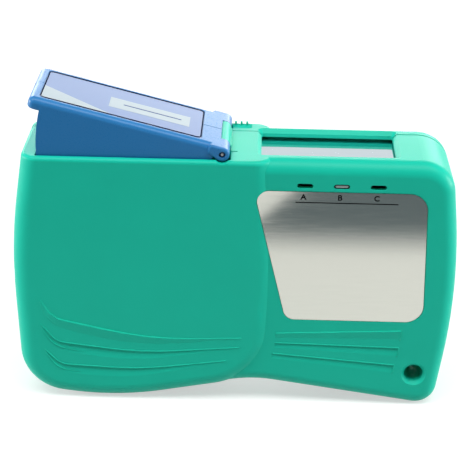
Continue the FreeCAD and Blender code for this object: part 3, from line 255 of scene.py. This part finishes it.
def add_node(tree, kind, inputs=None, **settings):
    """Add a shader node, set its properties, and set or link its inputs."""
    made = tree.nodes.new("ShaderNode" + kind)
    for name, value in settings.items():
        setattr(made, name, value)
    for name, value in (inputs or {}).items():
        if isinstance(value, bpy.types.NodeSocket):
            tree.links.new(value, made.inputs[name])
        else:
            made.inputs[name].default_value = value
    return made


def socket_label(word):
    """Label of a shader's socket from a keyword: base_color gives Base Color."""
    return word.replace("_", " ").title().replace("Ior", "IOR")


def new_finish(name, **values):
    """New material, its node tree, and its main shader with these values on its own sockets."""
    made = bpy.data.materials.new(name)
    made.use_nodes = True
    shader = made.node_tree.nodes["Principled BSDF"]
    for word, value in values.items():
        shader.inputs[socket_label(word)].default_value = value
    return made, made.node_tree, shader


def feed(tree, shader, **sources):
    """Link the sockets of other nodes to the main shader."""
    for word, source in sources.items():
        tree.links.new(source, shader.inputs[socket_label(word)])


def per_mm(size):
    """Pattern scale that repeats once in this many millimetres of object space."""
    return 1 / (size * MM)


def toned(colour, factor):
    """A colour made lighter or darker, with full alpha."""
    return [min(channel * factor, 1.0) for channel in colour[:3]] + [1.0]


def moulded_plastic(name, colour, roughness, flow=0.04, gloss=0.15):
    """Plastic or rubber moulded in a spark-eroded tool: a satin skin whose edges catch a thin line of light.

    The tool leaves a fine even grain that breaks up the gloss, and the melt leaves drifts of tone about
    16 mm wide. The real grain is about 0.08 mm; it is drawn at 0.3 mm so that it shows. The IOR is that of
    ABS, and the other mouldings here lie within 0.06 of it.
    """
    made, tree, shader = new_finish(name, roughness=roughness, ior=1.53, specular_ior_level=gloss)
    place = add_node(tree, "TexCoord").outputs["Object"]
    grain = add_node(tree, "TexNoise", {"Vector": place, "Scale": per_mm(0.3), "Detail": 3.0})
    drift = add_node(tree, "TexNoise", {"Vector": place, "Scale": per_mm(16.0), "Detail": 2.0})
    tone = add_node(tree, "Mix", {MIX_SHARE: drift.outputs["Fac"], MIX_FROM: toned(colour, 1 - flow),
                                  MIX_TO: toned(colour, 1 + flow)}, data_type="RGBA")
    shine = add_node(tree, "MapRange", {"Value": grain.outputs["Fac"],
                                        "From Min": NOISE_LOW, "From Max": NOISE_HIGH,
                                        "To Min": roughness - 0.05, "To Max": roughness + 0.07})
    edge = add_node(tree, "Bevel", {"Radius": 0.15 * MM}, samples=4)
    bump = add_node(tree, "Bump", {"Height": grain.outputs["Fac"], "Strength": 0.12, "Distance": 0.03 * MM,
                                   "Normal": edge.outputs["Normal"]})
    feed(tree, shader, base_color=tone.outputs[MIX_RESULT], roughness=shine.outputs["Result"],
         normal=bump.outputs["Normal"])
    return made


def white_acetal(name, roughness):
    """Moulded acetal: white and slightly waxy, with a very even tone."""
    return moulded_plastic(name, linear("E5E4DD"), roughness, flow=0.02)


def printed_film(name, colour, gloss=0.1):
    """Screen print on polyester film under a clear laminate: even colour and soft gloss.

    The laminate has a faint orange peel of 1.6 mm. The screen leaves specks of tone of about 0.1 mm; they
    are drawn at 0.25 mm so that they show.
    """
    made, tree, shader = new_finish(name, roughness=0.3, ior=1.57, specular_ior_level=gloss)
    place = add_node(tree, "TexCoord").outputs["Object"]
    peel = add_node(tree, "TexNoise", {"Vector": place, "Scale": per_mm(1.6), "Detail": 2.0})
    specks = add_node(tree, "TexNoise", {"Vector": place, "Scale": per_mm(0.25), "Detail": 1.0})
    tone = add_node(tree, "Mix", {MIX_SHARE: specks.outputs["Fac"], MIX_FROM: toned(colour, 0.97),
                                  MIX_TO: toned(colour, 1.03)}, data_type="RGBA")
    bump = add_node(tree, "Bump", {"Height": peel.outputs["Fac"], "Strength": 0.1, "Distance": 0.02 * MM})
    feed(tree, shader, base_color=tone.outputs[MIX_RESULT], normal=bump.outputs["Normal"])
    return made


def lined_metal(name, colour, roughness, line_mm, stretch, spread, relief=0.05):
    """Metal with fine parallel lines from rolling, drawing, grinding or polishing, which smear reflections.

    The stretch squeezes the pattern along X, Y and Z, and it is smallest along the lines. Real lines lie
    about 0.02 mm apart; they are drawn line_mm apart so that they show. The roughness strays by the spread.
    """
    made, tree, shader = new_finish(name, metallic=1.0, roughness=roughness)
    place = add_node(tree, "TexCoord").outputs["Object"]
    along = add_node(tree, "Mapping", {"Vector": place, "Scale": stretch})
    lines = add_node(tree, "TexNoise", {"Vector": along.outputs["Vector"], "Scale": per_mm(line_mm),
                                        "Detail": 4.0})
    tone = add_node(tree, "Mix", {MIX_SHARE: lines.outputs["Fac"], MIX_FROM: toned(colour, 0.95),
                                  MIX_TO: toned(colour, 1.03)}, data_type="RGBA")
    shine = add_node(tree, "MapRange", {"Value": lines.outputs["Fac"],
                                        "From Min": NOISE_LOW, "From Max": NOISE_HIGH,
                                        "To Min": roughness - spread, "To Max": roughness + spread})
    bump = add_node(tree, "Bump", {"Height": lines.outputs["Fac"], "Strength": relief, "Distance": 0.01 * MM})
    feed(tree, shader, base_color=tone.outputs[MIX_RESULT], roughness=shine.outputs["Result"],
         normal=bump.outputs["Normal"])
    return made


def ground_steel(name, hex_colour, roughness, spread):
    """Ground steel of pins and axles that lie along Y: fine lines draw highlights out to soft streaks."""
    return lined_metal(name, linear(hex_colour), roughness, line_mm=0.2, stretch=(1, 0.1, 1), spread=spread)


def spring_steel(name):
    """Spring steel, rolled to a leaf or drawn to wire: a grey sheen with fine streaks up and down."""
    return lined_metal(name, linear("A5A7A8"), roughness=0.3, line_mm=0.15, stretch=(1, 1, 0.2), spread=0.06)


def woven_tape(name):
    """Cleaning tape woven from polyester microfilament: white, matt, with a fine weave and a little sheen.

    The real threads lie 0.1 mm apart; the warp is drawn at 0.4 mm so that it shows. The warp follows the
    tape, which turns from X to Z, so the weft is drawn as slanting bands, wider apart, that cross the warp
    on every stretch.
    """
    colour = linear("E9E9E4")
    made, tree, shader = new_finish(name, roughness=0.85, sheen_weight=0.3)
    place = add_node(tree, "TexCoord").outputs["Object"]
    threads = {"Vector": place, "Scale": WAVE_LENGTH * per_mm(0.4), "Distortion": 0.4}
    warp = add_node(tree, "TexWave", threads, bands_direction="Y")
    weft = add_node(tree, "TexWave", threads, bands_direction="DIAGONAL")
    weave = add_node(tree, "Math", {0: warp.outputs["Fac"], 1: weft.outputs["Fac"]}, operation="MULTIPLY")
    tone = add_node(tree, "Mix", {MIX_SHARE: weave.outputs["Value"], MIX_FROM: toned(colour, 0.82),
                                  MIX_TO: colour}, data_type="RGBA")
    bump = add_node(tree, "Bump", {"Height": weave.outputs["Value"], "Strength": 0.4, "Distance": 0.05 * MM})
    feed(tree, shader, base_color=tone.outputs[MIX_RESULT], normal=bump.outputs["Normal"])
    return made


def pressed_felt(name, colour):
    """Pressed wool felt: no gloss, and a soft nap that scatters light at grazing angles.

    The fibres are about 0.03 mm thick; what is drawn is the 0.5 mm tufts that they mat into.
    """
    made, tree, shader = new_finish(name, roughness=0.95, sheen_weight=0.5)
    place = add_node(tree, "TexCoord").outputs["Object"]
    tufts = add_node(tree, "TexNoise", {"Vector": place, "Scale": per_mm(0.5), "Detail": 6.0,
                                        "Roughness": 0.75})
    tone = add_node(tree, "Mix", {MIX_SHARE: tufts.outputs["Fac"], MIX_FROM: toned(colour, 0.6),
                                  MIX_TO: toned(colour, 1.4)}, data_type="RGBA")
    bump = add_node(tree, "Bump", {"Height": tufts.outputs["Fac"], "Strength": 0.6, "Distance": 0.15 * MM})
    feed(tree, shader, base_color=tone.outputs[MIX_RESULT], normal=bump.outputs["Normal"])
    return made


def seen_directly(tree):
    """Socket that is 1 for what the camera, a mirror or glass shows, and 0 for light on the object."""
    path = add_node(tree, "LightPath")
    mirrored = add_node(tree, "Math", {0: path.outputs["Is Camera Ray"], 1: path.outputs["Is Glossy Ray"]},
                        operation="MAXIMUM")
    seen = add_node(tree, "Math", {0: mirrored.outputs["Value"], 1: path.outputs["Is Transmission Ray"]},
                    operation="MAXIMUM")
    return seen.outputs["Value"]


def finish_nodes(material, *names):
    """Give CAD nodes their finish."""
    for name in names:
        for place in NODES[name].material_slots:
            place.material = material


def middle_of(node):
    """Middle of a CAD node's box."""
    low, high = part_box(node)
    return (Vector(low) + Vector(high)) / 2


def face_frame(node, toward, along, through):
    """Frame on a node's largest face on one side: X runs along it, Z stands off it, origin near a point."""
    mesh = NODES[node].data
    faces = [face for face in mesh.polygons if face.normal.dot(toward) > FACING]
    if not faces:
        raise RuntimeError(node + " has no flat face that way")
    largest = max(faces, key=lambda face: face.area)
    normal = largest.normal.normalized()
    x_axis = (along - normal * along.dot(normal)).normalized()
    y_axis = normal.cross(x_axis)
    origin = through + normal * (largest.center - through).dot(normal)
    turn = Matrix((x_axis, y_axis, normal)).transposed().to_4x4()
    return Matrix.Translation(origin) @ turn


def put_piece(name, mesh, place, material, body):
    """Put a mesh in its place, as a piece that rides on a body."""
    mesh.transform(place)
    mesh.materials.append(material)
    piece = bpy.data.objects.new(name, mesh)
    bpy.context.collection.objects.link(piece)
    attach(piece, body)
    return piece


def closed_mesh(name, shape):
    """Mesh of a closed shape, its faces turned outwards."""
    bmesh.ops.recalc_face_normals(shape, faces=shape.faces)
    mesh = bpy.data.meshes.new(name)
    shape.to_mesh(mesh)
    shape.free()
    return mesh


def raised_plate(name, shape, faces, thickness):
    """Closed mesh from flat faces, drawn up to a thickness."""
    lifted = bmesh.ops.extrude_face_region(shape, geom=faces, use_keep_orig=True)
    upper = [item for item in lifted["geom"] if isinstance(item, bmesh.types.BMVert)]
    bmesh.ops.translate(shape, vec=(0, 0, thickness), verts=upper)
    return closed_mesh(name, shape)


def flat_plate(name, outline, thickness):
    """Thin closed mesh over a flat outline of (x, y) points."""
    shape = bmesh.new()
    ring = [shape.verts.new((x, y, 0)) for x, y in outline]
    return raised_plate(name, shape, [shape.faces.new(ring)], thickness)


def bar_outline(left, right, middle, width):
    """Corners of a bar along X, from its ends, its middle line and its width."""
    low = middle - width / 2
    high = middle + width / 2
    return [(left, low), (right, low), (right, high), (left, high)]


def slot_outline(length, height):
    """Points round a slot with half-round ends, centred on its origin."""
    radius = height / 2
    reach = length / 2 - radius
    points = []
    for end, start in ((reach, -90), (-reach, 90)):
        for k in range(CORNER_STEPS + 1):
            angle = math.radians(start + 180 * k / CORNER_STEPS)
            points.append((end + radius * math.cos(angle), radius * math.sin(angle)))
    return points


def painted_shade_ring(name, low, high, side, end, thickness):
    """Thin closed ring just inside a rounded rectangle, with one width at its sides and one at its ends."""
    corners = ((high.x, high.y, 1, 1), (low.x, high.y, -1, 1), (low.x, low.y, -1, -1), (high.x, low.y, 1, -1))
    shape = bmesh.new()
    loops = []
    for inset_x, inset_y in ((0.0, 0.0), (end, side)):
        loop = []
        for i, (x, y, sign_x, sign_y) in enumerate(corners):
            centre_x = x - sign_x * LABEL_CORNER
            centre_y = y - sign_y * LABEL_CORNER
            for k in range(CORNER_STEPS + 1):
                angle = math.radians(90) * (i + k / CORNER_STEPS)
                loop.append(shape.verts.new((centre_x + (LABEL_CORNER - inset_x) * math.cos(angle),
                                             centre_y + (LABEL_CORNER - inset_y) * math.sin(angle), 0)))
        loops.append(loop)
    outer, inner = loops
    faces = []
    for i in range(len(outer)):
        j = (i + 1) % len(outer)
        faces.append(shape.faces.new((outer[i], outer[j], inner[j], inner[i])))
    return raised_plate(name, shape, faces, thickness)


def letter_print(name, letter, height, thickness):
    """Thin mesh of one capital, centred on its origin."""
    curve = bpy.data.curves.new(name, "FONT")
    curve.body = letter
    curve.extrude = thickness / 2
    curve.offset = LETTER_WEIGHT
    carrier = bpy.data.objects.new(name, curve)
    mesh = bpy.data.meshes.new_from_object(carrier)
    bpy.data.objects.remove(carrier)
    bpy.data.curves.remove(curve)
    xs = [vertex.co.x for vertex in mesh.vertices]
    ys = [vertex.co.y for vertex in mesh.vertices]
    size = height / (max(ys) - min(ys))
    middle = Vector(((max(xs) + min(xs)) / 2, (max(ys) + min(ys)) / 2, 0))
    scale = Matrix.Diagonal((size, size, 1, 1))
    mesh.transform(Matrix.Translation((0, 0, thickness / 2)) @ scale @ Matrix.Translation(-middle))
    mesh.materials.clear()
    return mesh


def add_ring(shape, centre, aside, beside, radius, sides):
    """Ring of points round a centre, in the plane of two directions."""
    angles = [math.tau * k / sides for k in range(sides)]
    return [shape.verts.new(centre + (aside * math.cos(angle) + beside * math.sin(angle)) * radius)
            for angle in angles]


def add_tube(shape, rings):
    """Smooth closed tube over rings of points, with a flat cap at each end."""
    for near, far in zip(rings, rings[1:]):
        for k in range(len(near)):
            j = (k + 1) % len(near)
            shape.faces.new((near[k], near[j], far[j], far[k])).smooth = True
    shape.faces.new(rings[0])
    shape.faces.new(rings[-1])


def coil_wire(name, low, high, wire, turns):
    """Closed mesh of round wire wound into a coil that fills a box, with a closed turn at each end."""
    middle = (low + high) / 2
    radius = (high.x - low.x - wire) / 2
    closed = wire * CLOSED_PITCH
    pitch = (high.z - low.z - wire - 2 * closed) / (turns - 2)
    shape = bmesh.new()
    rings = []
    for i in range(turns * COIL_STEPS + 1):
        turn = i / COIL_STEPS
        first = closed * min(turn, 1)
        between = pitch * min(max(turn - 1, 0), turns - 2)
        last = closed * max(turn - turns + 1, 0)
        rise = first + between + last
        out = Vector((math.cos(math.tau * turn), math.sin(math.tau * turn), 0))
        centre = Vector((middle.x, middle.y, low.z + wire / 2 + rise)) + out * radius
        rings.append(add_ring(shape, centre, out, UP, wire / 2, WIRE_SIDES))
    add_tube(shape, rings)
    return closed_mesh(name, shape)


def rounded_route(corners):
    """Points along straight runs between corners of (x, z, radius).

    Each corner is smoothed to a bend that starts and ends where an arc of that radius would.
    """
    points = [Vector(corners[0][:2])]
    for i in range(1, len(corners) - 1):
        before, here, after = (Vector(corner[:2]) for corner in corners[i - 1:i + 2])
        to_before = (before - here).normalized()
        to_after = (after - here).normalized()
        half = to_before.angle(to_after) / 2
        reach = corners[i][2] / math.tan(half)
        for k in range(BEND_STEPS + 1):
            share = k / BEND_STEPS
            start = here + to_before * reach * (1 - share)
            stop = here + to_after * reach * share
            points.append(start.lerp(stop, share))
    points.append(Vector(corners[-1][:2]))
    route = []
    for near, far in zip(points, points[1:]):
        count = max(1, round((far - near).length / RUN_STEP))
        route += [near.lerp(far, k / count) for k in range(count)]
    return route + points[-1:]


def plain_route(corners):
    """A grip's upper edge as points, each with the share of a bead's full size there."""
    return [(point, 1.0) for point in rounded_route(corners)]


def hooked_route(corners, hook):
    """A grip's upper edge, led in by the lower edge of its hooked end; the hook's width is in millimetres."""
    upper = rounded_route(corners)
    count = round(len(upper) * HOOK_SHARE)
    lower = []
    for i in range(count, 0, -1):
        way = (upper[i + 1] - upper[i - 1]).normalized()
        share = i / count
        width = hook * math.sqrt(share)
        lower.append((upper[i] + Vector((way.y, -way.x)) * width, min(1.0, (1 - share) / HOOK_GROWTH)))
    return lower + plain_route(corners)


def add_bead(shape, route, left, face_y, radius):
    """Round bead half sunk in a front face, along (x, z) points in millimetres with shares of its radius."""
    rings = []
    for i, (point, share) in enumerate(route):
        before = route[max(i - 1, 0)][0]
        after = route[min(i + 1, len(route) - 1)][0]
        way = (after - before).normalized()
        aside = Vector((-way.y, 0, way.x))
        centre = Vector((left + point.x * MM, face_y, point.y * MM))
        rings.append(add_ring(shape, centre, aside, BACK, radius * max(share, BEAD_TIP), BEAD_SIDES))
    add_tube(shape, rings)


class CLEANER_OT_case(bpy.types.Operator):
    """Finish the two case mouldings."""

    bl_idname = "cleaner.case"
    bl_label = "Case"

    def execute(self, context):
        colours = context.scene.cleaner_colours
        # Satin ABS: broad soft highlights and no clear reflections
        green = moulded_plastic("moulded_abs_green", colours.case, roughness=0.4)
        finish_nodes(green, "front_case", "rear_cover")
        return {"FINISHED"}


class CLEANER_OT_beads(bpy.types.Operator):
    """Lay the fine beads along the grips, in the case's own finish."""

    bl_idname = "cleaner.beads"
    bl_label = "Grip beads"

    def execute(self, context):
        sizes = context.scene.cleaner_beads
        corner = Vector(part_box("front_case")[0])
        housing_y = corner.y + RIB_RISE
        body_y = housing_y + BODY_SET_BACK
        shape = bmesh.new()
        for corners in HOUSING_GRIPS:
            add_bead(shape, hooked_route(corners, sizes.hook / MM), corner.x, housing_y, sizes.radius)
        for corners in BODY_GRIPS:
            add_bead(shape, plain_route(corners), corner.x, body_y, sizes.radius)
        green = NODES["front_case"].material_slots[0].material
        put_piece("grip_beads", closed_mesh("grip_beads", shape), IN_FRAME, green, "case")
        return {"FINISHED"}


class CLEANER_OT_lever(bpy.types.Operator):
    """Finish the press lever, its hinge pin and its printed label."""

    bl_idname = "cleaner.lever"
    bl_label = "Lever"

    def execute(self, context):
        colours = context.scene.cleaner_colours
        marks = context.scene.cleaner_marks
        # ABS from a smoother tool than the case's: a clearer gloss on its curves
        blue = moulded_plastic("moulded_abs_blue", colours.lever, roughness=0.3, gloss=0.28)
        finish_nodes(blue, "lever_front", "lever_rear")
        finish_nodes(ground_steel("ground_steel_pin", "8F9294", roughness=0.35, spread=0.08), "hinge_pin")
        finish_nodes(printed_film("printed_polyester", colours.label), "lever_label")
        self.print_label(colours, marks)
        return {"FINISHED"}

    def print_label(self, colours, marks):
        """Painted shade round the label's edge, pale corner and pale field with a line, laid out from the
        label's own corners.
        """
        place = face_frame("lever_label", UP, RIGHT, middle_of("hinge_pin"))
        inward = place.inverted()
        spots = [inward @ vertex.co for vertex in NODES["lever_label"].data.vertices]
        low = Vector((min(spot.x for spot in spots), min(spot.y for spot in spots), 0))
        high = Vector((max(spot.x for spot in spots), max(spot.y for spot in spots), 0))
        recess_shade_ring = painted_shade_ring("label_border", low, high, marks.border_side, marks.border_end, marks.film)
        left = low.x + marks.border_end
        near = low.y + marks.border_side
        run = marks.corner_rise * CORNER_SLOPE
        corner = [(left, near), (left + run, near), (left, near + marks.corner_rise)]
        field = bar_outline(low.x + marks.field_start, high.x - marks.field_end,
                            marks.field_middle, marks.field_width)
        stroke = bar_outline(low.x + marks.stroke_start, high.x - marks.stroke_end,
                             marks.field_middle, marks.stroke_width)
        # Screen inks: the pale one has the film's soft gloss, and the blue one has none
        pale = printed_film("pale_screen_ink", colours.label_print)
        blue = printed_film("blue_screen_ink", colours.label_line, gloss=0.0)
        # Painted shade of the label's recess: navy, and with no gloss so that it stays dark
        recess_shade_finish = printed_film("navy_screen_ink", colours.label_recess_shade, gloss=0.0)
        on_field = place @ Matrix.Translation((0, 0, marks.film))
        put_piece("label_border", recess_shade_ring, place, recess_shade_finish, "lever")
        for name, outline, spot, ink in (
            ("label_corner", corner, place, pale),
            ("label_field", field, place, pale),
            ("label_stroke", stroke, on_field, blue),
        ):
            put_piece(name, flat_plate(name, outline, marks.film), spot, ink, "lever")


class CLEANER_OT_panel(bpy.types.Operator):
    """Finish the front panel, its slot letters and the indicator behind the slots."""

    bl_idname = "cleaner.panel"
    bl_label = "Panel"

    def execute(self, context):
        colours = context.scene.cleaner_colours
        marks = context.scene.cleaner_marks
        # Metallised film: a silver mirror, slightly blurred, with faint lines from left to right
        silver = lined_metal("metallised_film", colours.panel, roughness=0.1, line_mm=0.35,
                             stretch=(0.05, 1, 1), spread=0.02, relief=0.01)
        finish_nodes(silver, "nameplate")
        # The slide is dark and dull: round its light cap it paints the shade of the gap in the slot
        slide_gap_shade = moulded_plastic("moulded_abs_charcoal", linear("1B1D1D"), roughness=0.5)
        grey = moulded_plastic("moulded_abs_grey", colours.indicator, roughness=0.45)
        finish_nodes(slide_gap_shade, "type_indicator")
        place = face_frame("nameplate", FRONT, RIGHT, middle_of("type_indicator"))
        peg_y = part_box("type_indicator")[0][1]
        on_peg = Matrix.Translation((0, peg_y - place.translation.y, 0)) @ place
        cap = flat_plate("indicator_cap", slot_outline(marks.cap_length, marks.cap_height), marks.cap_rise)
        put_piece("indicator_cap", cap, on_peg, grey, "case")
        self.print_index(colours, marks, place)
        return {"FINISHED"}

    def print_index(self, colours, marks, place):
        """Letter under each slot and the rule below them, placed from the middle slot."""
        # Screen ink with no gloss: it stays black where the panel mirrors something bright
        black = printed_film("black_screen_ink", colours.ink, gloss=0.0)
        for letter, x in zip("ABC", (-SLOT_STEP, 0.0, SLOT_STEP)):
            name = "slot_letter_" + letter.lower()
            spot = place @ Matrix.Translation((x - LETTER_SHIFT, -marks.letter_drop, 0))
            put_piece(name, letter_print(name, letter, marks.letter, marks.film), spot, black,
                      "case")
        rule = bar_outline(-SLOT_STEP - marks.rule_before, SLOT_STEP + marks.rule_after,
                           -marks.rule_drop, marks.rule_width)
        put_piece("slot_rule", flat_plate("slot_rule", rule, marks.film), place, black, "case")


class CLEANER_OT_window(bpy.types.Operator):
    """Finish the shutter and what lies under the cleaning window."""

    bl_idname = "cleaner.window"
    bl_label = "Window"

    def execute(self, context):
        # Polished stainless sheet: a clear cool mirror with faint lines from left to right
        mirror = lined_metal("polished_stainless", linear("C9D6DC"), roughness=0.04, line_mm=0.25,
                             stretch=(0.04, 1, 1), spread=0.02)
        finish_nodes(mirror, "shutter")
        finish_nodes(white_acetal("moulded_acetal_rack", roughness=0.45), "shutter_carriage")
        # Dull black ABS, and rubber that is nearly matt: both set off the white tape
        black = moulded_plastic("moulded_abs_black", linear("262728"), roughness=0.5)
        rubber = moulded_plastic("moulded_rubber", linear("2B2C2D"), roughness=0.75)
        finish_nodes(black, "platen", "slot_plate")
        finish_nodes(rubber, "platen_pad")
        finish_nodes(ground_steel("ground_steel_guides", "9C9EA0", roughness=0.28, spread=0.06), "guide_pins")
        finish_nodes(woven_tape("woven_microfilament"), "tape")
        return {"FINISHED"}


class CLEANER_OT_works(bpy.types.Operator):
    """Finish the gears, reels, rolls, axles, brake felt and backstop spring inside the case."""

    bl_idname = "cleaner.works"
    bl_label = "Works"

    def execute(self, context):
        finish_nodes(white_acetal("moulded_acetal_gears", roughness=0.42), "drive_wheel", "shutter_idler")
        # Polystyrene: a plain grey satin
        grey = moulded_plastic("moulded_polystyrene_grey", linear("8E9497"), roughness=0.42)
        finish_nodes(grey, "takeup_reel", "supply_reel")
        finish_nodes(woven_tape("wound_microfilament"), "takeup_roll", "supply_roll")
        axles = ground_steel("ground_steel_axles", "9A9C9E", roughness=0.3, spread=0.06)
        finish_nodes(axles, "idler_axle", "takeup_axle", "supply_axle")
        finish_nodes(pressed_felt("pressed_wool_felt", linear("6A6D6F")), "brake_felt")
        finish_nodes(spring_steel("rolled_spring_steel"), "backstop_spring")
        return {"FINISHED"}


class CLEANER_OT_spring(bpy.types.Operator):
    """Wind the coil spring that lifts the lever."""

    bl_idname = "cleaner.spring"
    bl_label = "Spring"

    def execute(self, context):
        sizes = context.scene.cleaner_spring
        low, high = (Vector(corner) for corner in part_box("return_spring"))
        steel = spring_steel("drawn_spring_steel")
        finish_nodes(steel, "return_spring")
        mesh = coil_wire("return_coil", low, high, sizes.wire, sizes.turns)
        coil = put_piece("return_coil", mesh, IN_FRAME, steel, "case")
        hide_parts("return_spring")
        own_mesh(coil)
        return {"FINISHED"}


class CLEANER_OT_stage(bpy.types.Operator):
    """Set up the floor, the grey card, the lamps, the world and the camera."""

    bl_idname = "cleaner.stage"
    bl_label = "Stage"

    def execute(self, context):
        scene = context.scene
        stage = scene.cleaner_stage
        scene.view_settings.view_transform = "Standard"
        self.make_floor()
        self.make_card()
        for name, power, place, aim, size in SOFTBOXES:
            self.make_lamp(name, getattr(stage, power), place, aim, size)
        self.make_world(scene, stage)
        self.make_camera(scene, stage)
        return {"FINISHED"}

    def lay_sheet(self, name, outline, height, material):
        """Flat sheet of the stage over an outline of (x, y) points."""
        mesh = bpy.data.meshes.new(name)
        mesh.from_pydata([(x, y, height) for x, y in outline], [], [tuple(range(len(outline)))])
        mesh.materials.append(material)
        sheet = bpy.data.objects.new(name, mesh)
        bpy.context.collection.objects.link(sheet)
        return sheet

    def make_floor(self):
        """Floor of matt paper that stays white to the eye and in reflections, and keeps a soft shadow."""
        paper, tree, shader = new_finish("matt_white_paper", base_color=linear("BEBEBE"), roughness=0.9,
                                         specular_ior_level=0.0, emission_color=linear("FFFFFF"))
        glow = add_node(tree, "Math", {0: seen_directly(tree), 1: FLOOR_GLOW}, operation="MULTIPLY")
        feed(tree, shader, emission_strength=glow.outputs["Value"])
        self.lay_sheet("floor", bar_outline(-FLOOR_REACH, FLOOR_REACH, 0, 2 * FLOOR_REACH), 0, paper)

    def make_card(self):
        """Matt grey card on the floor in front, out of the camera's sight, that the silver panel mirrors."""
        card, tree, shader = new_finish("matt_grey_card", base_color=linear("687379"), roughness=0.9,
                                        specular_ior_level=0.0)
        place = add_node(tree, "SeparateXYZ", {"Vector": add_node(tree, "TexCoord").outputs["Object"]})
        fade = add_node(tree, "MapRange", {"Value": place.outputs["Y"], "From Min": CARD_WHOLE,
                                           "From Max": CARD_GONE, "To Min": 1.0, "To Max": 0.0})
        feed(tree, shader, alpha=fade.outputs["Result"])
        sheet = self.lay_sheet("flag", [(x * MM, y * MM) for x, y in CARD_OUTLINE], CARD_LIFT, card)
        sheet.visible_camera = False
        sheet.visible_diffuse = False
        sheet.visible_shadow = False

    def make_lamp(self, name, power, place, aim, size):
        """Rectangular softbox turned towards a point."""
        light = bpy.data.lights.new(name, "AREA")
        light.shape = "RECTANGLE"
        light.size, light.size_y = size
        light.energy = power
        lamp = bpy.data.objects.new(name, light)
        lamp.location = place
        lamp.rotation_euler = (Vector(aim) - Vector(place)).to_track_quat("-Z", "Y").to_euler()
        bpy.context.collection.objects.link(lamp)

    def make_world(self, scene, stage):
        """White to the eye and in reflections, and a dim even light on the object."""
        world = bpy.data.worlds.new("studio")
        world.use_nodes = True
        tree = world.node_tree
        background = tree.nodes["Background"]
        background.inputs["Color"].default_value = linear("FFFFFF")
        strength = add_node(tree, "MapRange", {"Value": seen_directly(tree), "To Min": stage.ambient,
                                               "To Max": 1.0})
        feed(tree, background, strength=strength.outputs["Result"])
        scene.world = world

    def make_camera(self, scene, stage):
        """Camera where the photograph was taken from."""
        level = math.cos(stage.elevation)
        away = Vector((math.sin(stage.azimuth) * level, -math.cos(stage.azimuth) * level,
                       math.sin(stage.elevation)))
        right = UP.cross(away).normalized()
        turned = right * math.cos(stage.roll) + away.cross(right) * math.sin(stage.roll)
        turn = Matrix((turned, away.cross(turned), away)).transposed().to_4x4()
        camera = bpy.data.cameras.new("camera")
        camera.lens = stage.lens
        camera.sensor_width = SENSOR_WIDTH
        camera.clip_start = CLIP_START
        viewer = bpy.data.objects.new("camera", camera)
        viewer.matrix_world = Matrix.Translation(CAMERA_TARGET + away * stage.distance) @ turn
        bpy.context.collection.objects.link(viewer)
        scene.camera = viewer


class CLEANER_PT_sidebar(bpy.types.Panel):
    """Sidebar panel with the sizes, the colours and a button for each group of pieces."""

    bl_idname = "CLEANER_PT_sidebar"
    bl_label = "Fibre Connector Cleaner"
    bl_space_type = "VIEW_3D"
    bl_region_type = "UI"
    bl_category = "Cleaner"

    def draw(self, context):
        layout = self.layout
        for group, kind in GROUPS.items():
            box = layout.box()
            for name in kind.__annotations__:
                box.prop(getattr(context.scene, group), name)
        for operator in OPERATORS:
            layout.operator(operator.bl_idname)


GROUPS = {
    "cleaner_colours": CleanerColours,
    "cleaner_marks": CleanerMarks,
    "cleaner_beads": CleanerBeads,
    "cleaner_spring": CleanerSpring,
    "cleaner_stage": CleanerStage,
}
OPERATORS = (
    CLEANER_OT_case,
    CLEANER_OT_beads,
    CLEANER_OT_lever,
    CLEANER_OT_panel,
    CLEANER_OT_window,
    CLEANER_OT_works,
    CLEANER_OT_spring,
    CLEANER_OT_stage,
)
CLASSES = (*GROUPS.values(), *OPERATORS, CLEANER_PT_sidebar)


def register():
    """Register the classes and hang the groups on the scene."""
    for cls in CLASSES:
        bpy.utils.register_class(cls)
    for name, kind in GROUPS.items():
        setattr(bpy.types.Scene, name, PointerProperty(type=kind))


def unregister():
    """Take the groups off the scene and the classes out of Blender."""
    for name in GROUPS:
        delattr(bpy.types.Scene, name)
    for cls in reversed(CLASSES):
        bpy.utils.unregister_class(cls)


def main():
    """Dress the frame."""
    register()
    bpy.ops.cleaner.case()
    bpy.ops.cleaner.beads()
    bpy.ops.cleaner.lever()
    bpy.ops.cleaner.panel()
    bpy.ops.cleaner.window()
    bpy.ops.cleaner.works()
    bpy.ops.cleaner.spring()
    bpy.ops.cleaner.stage()


if __name__ == "__main__":
    main()
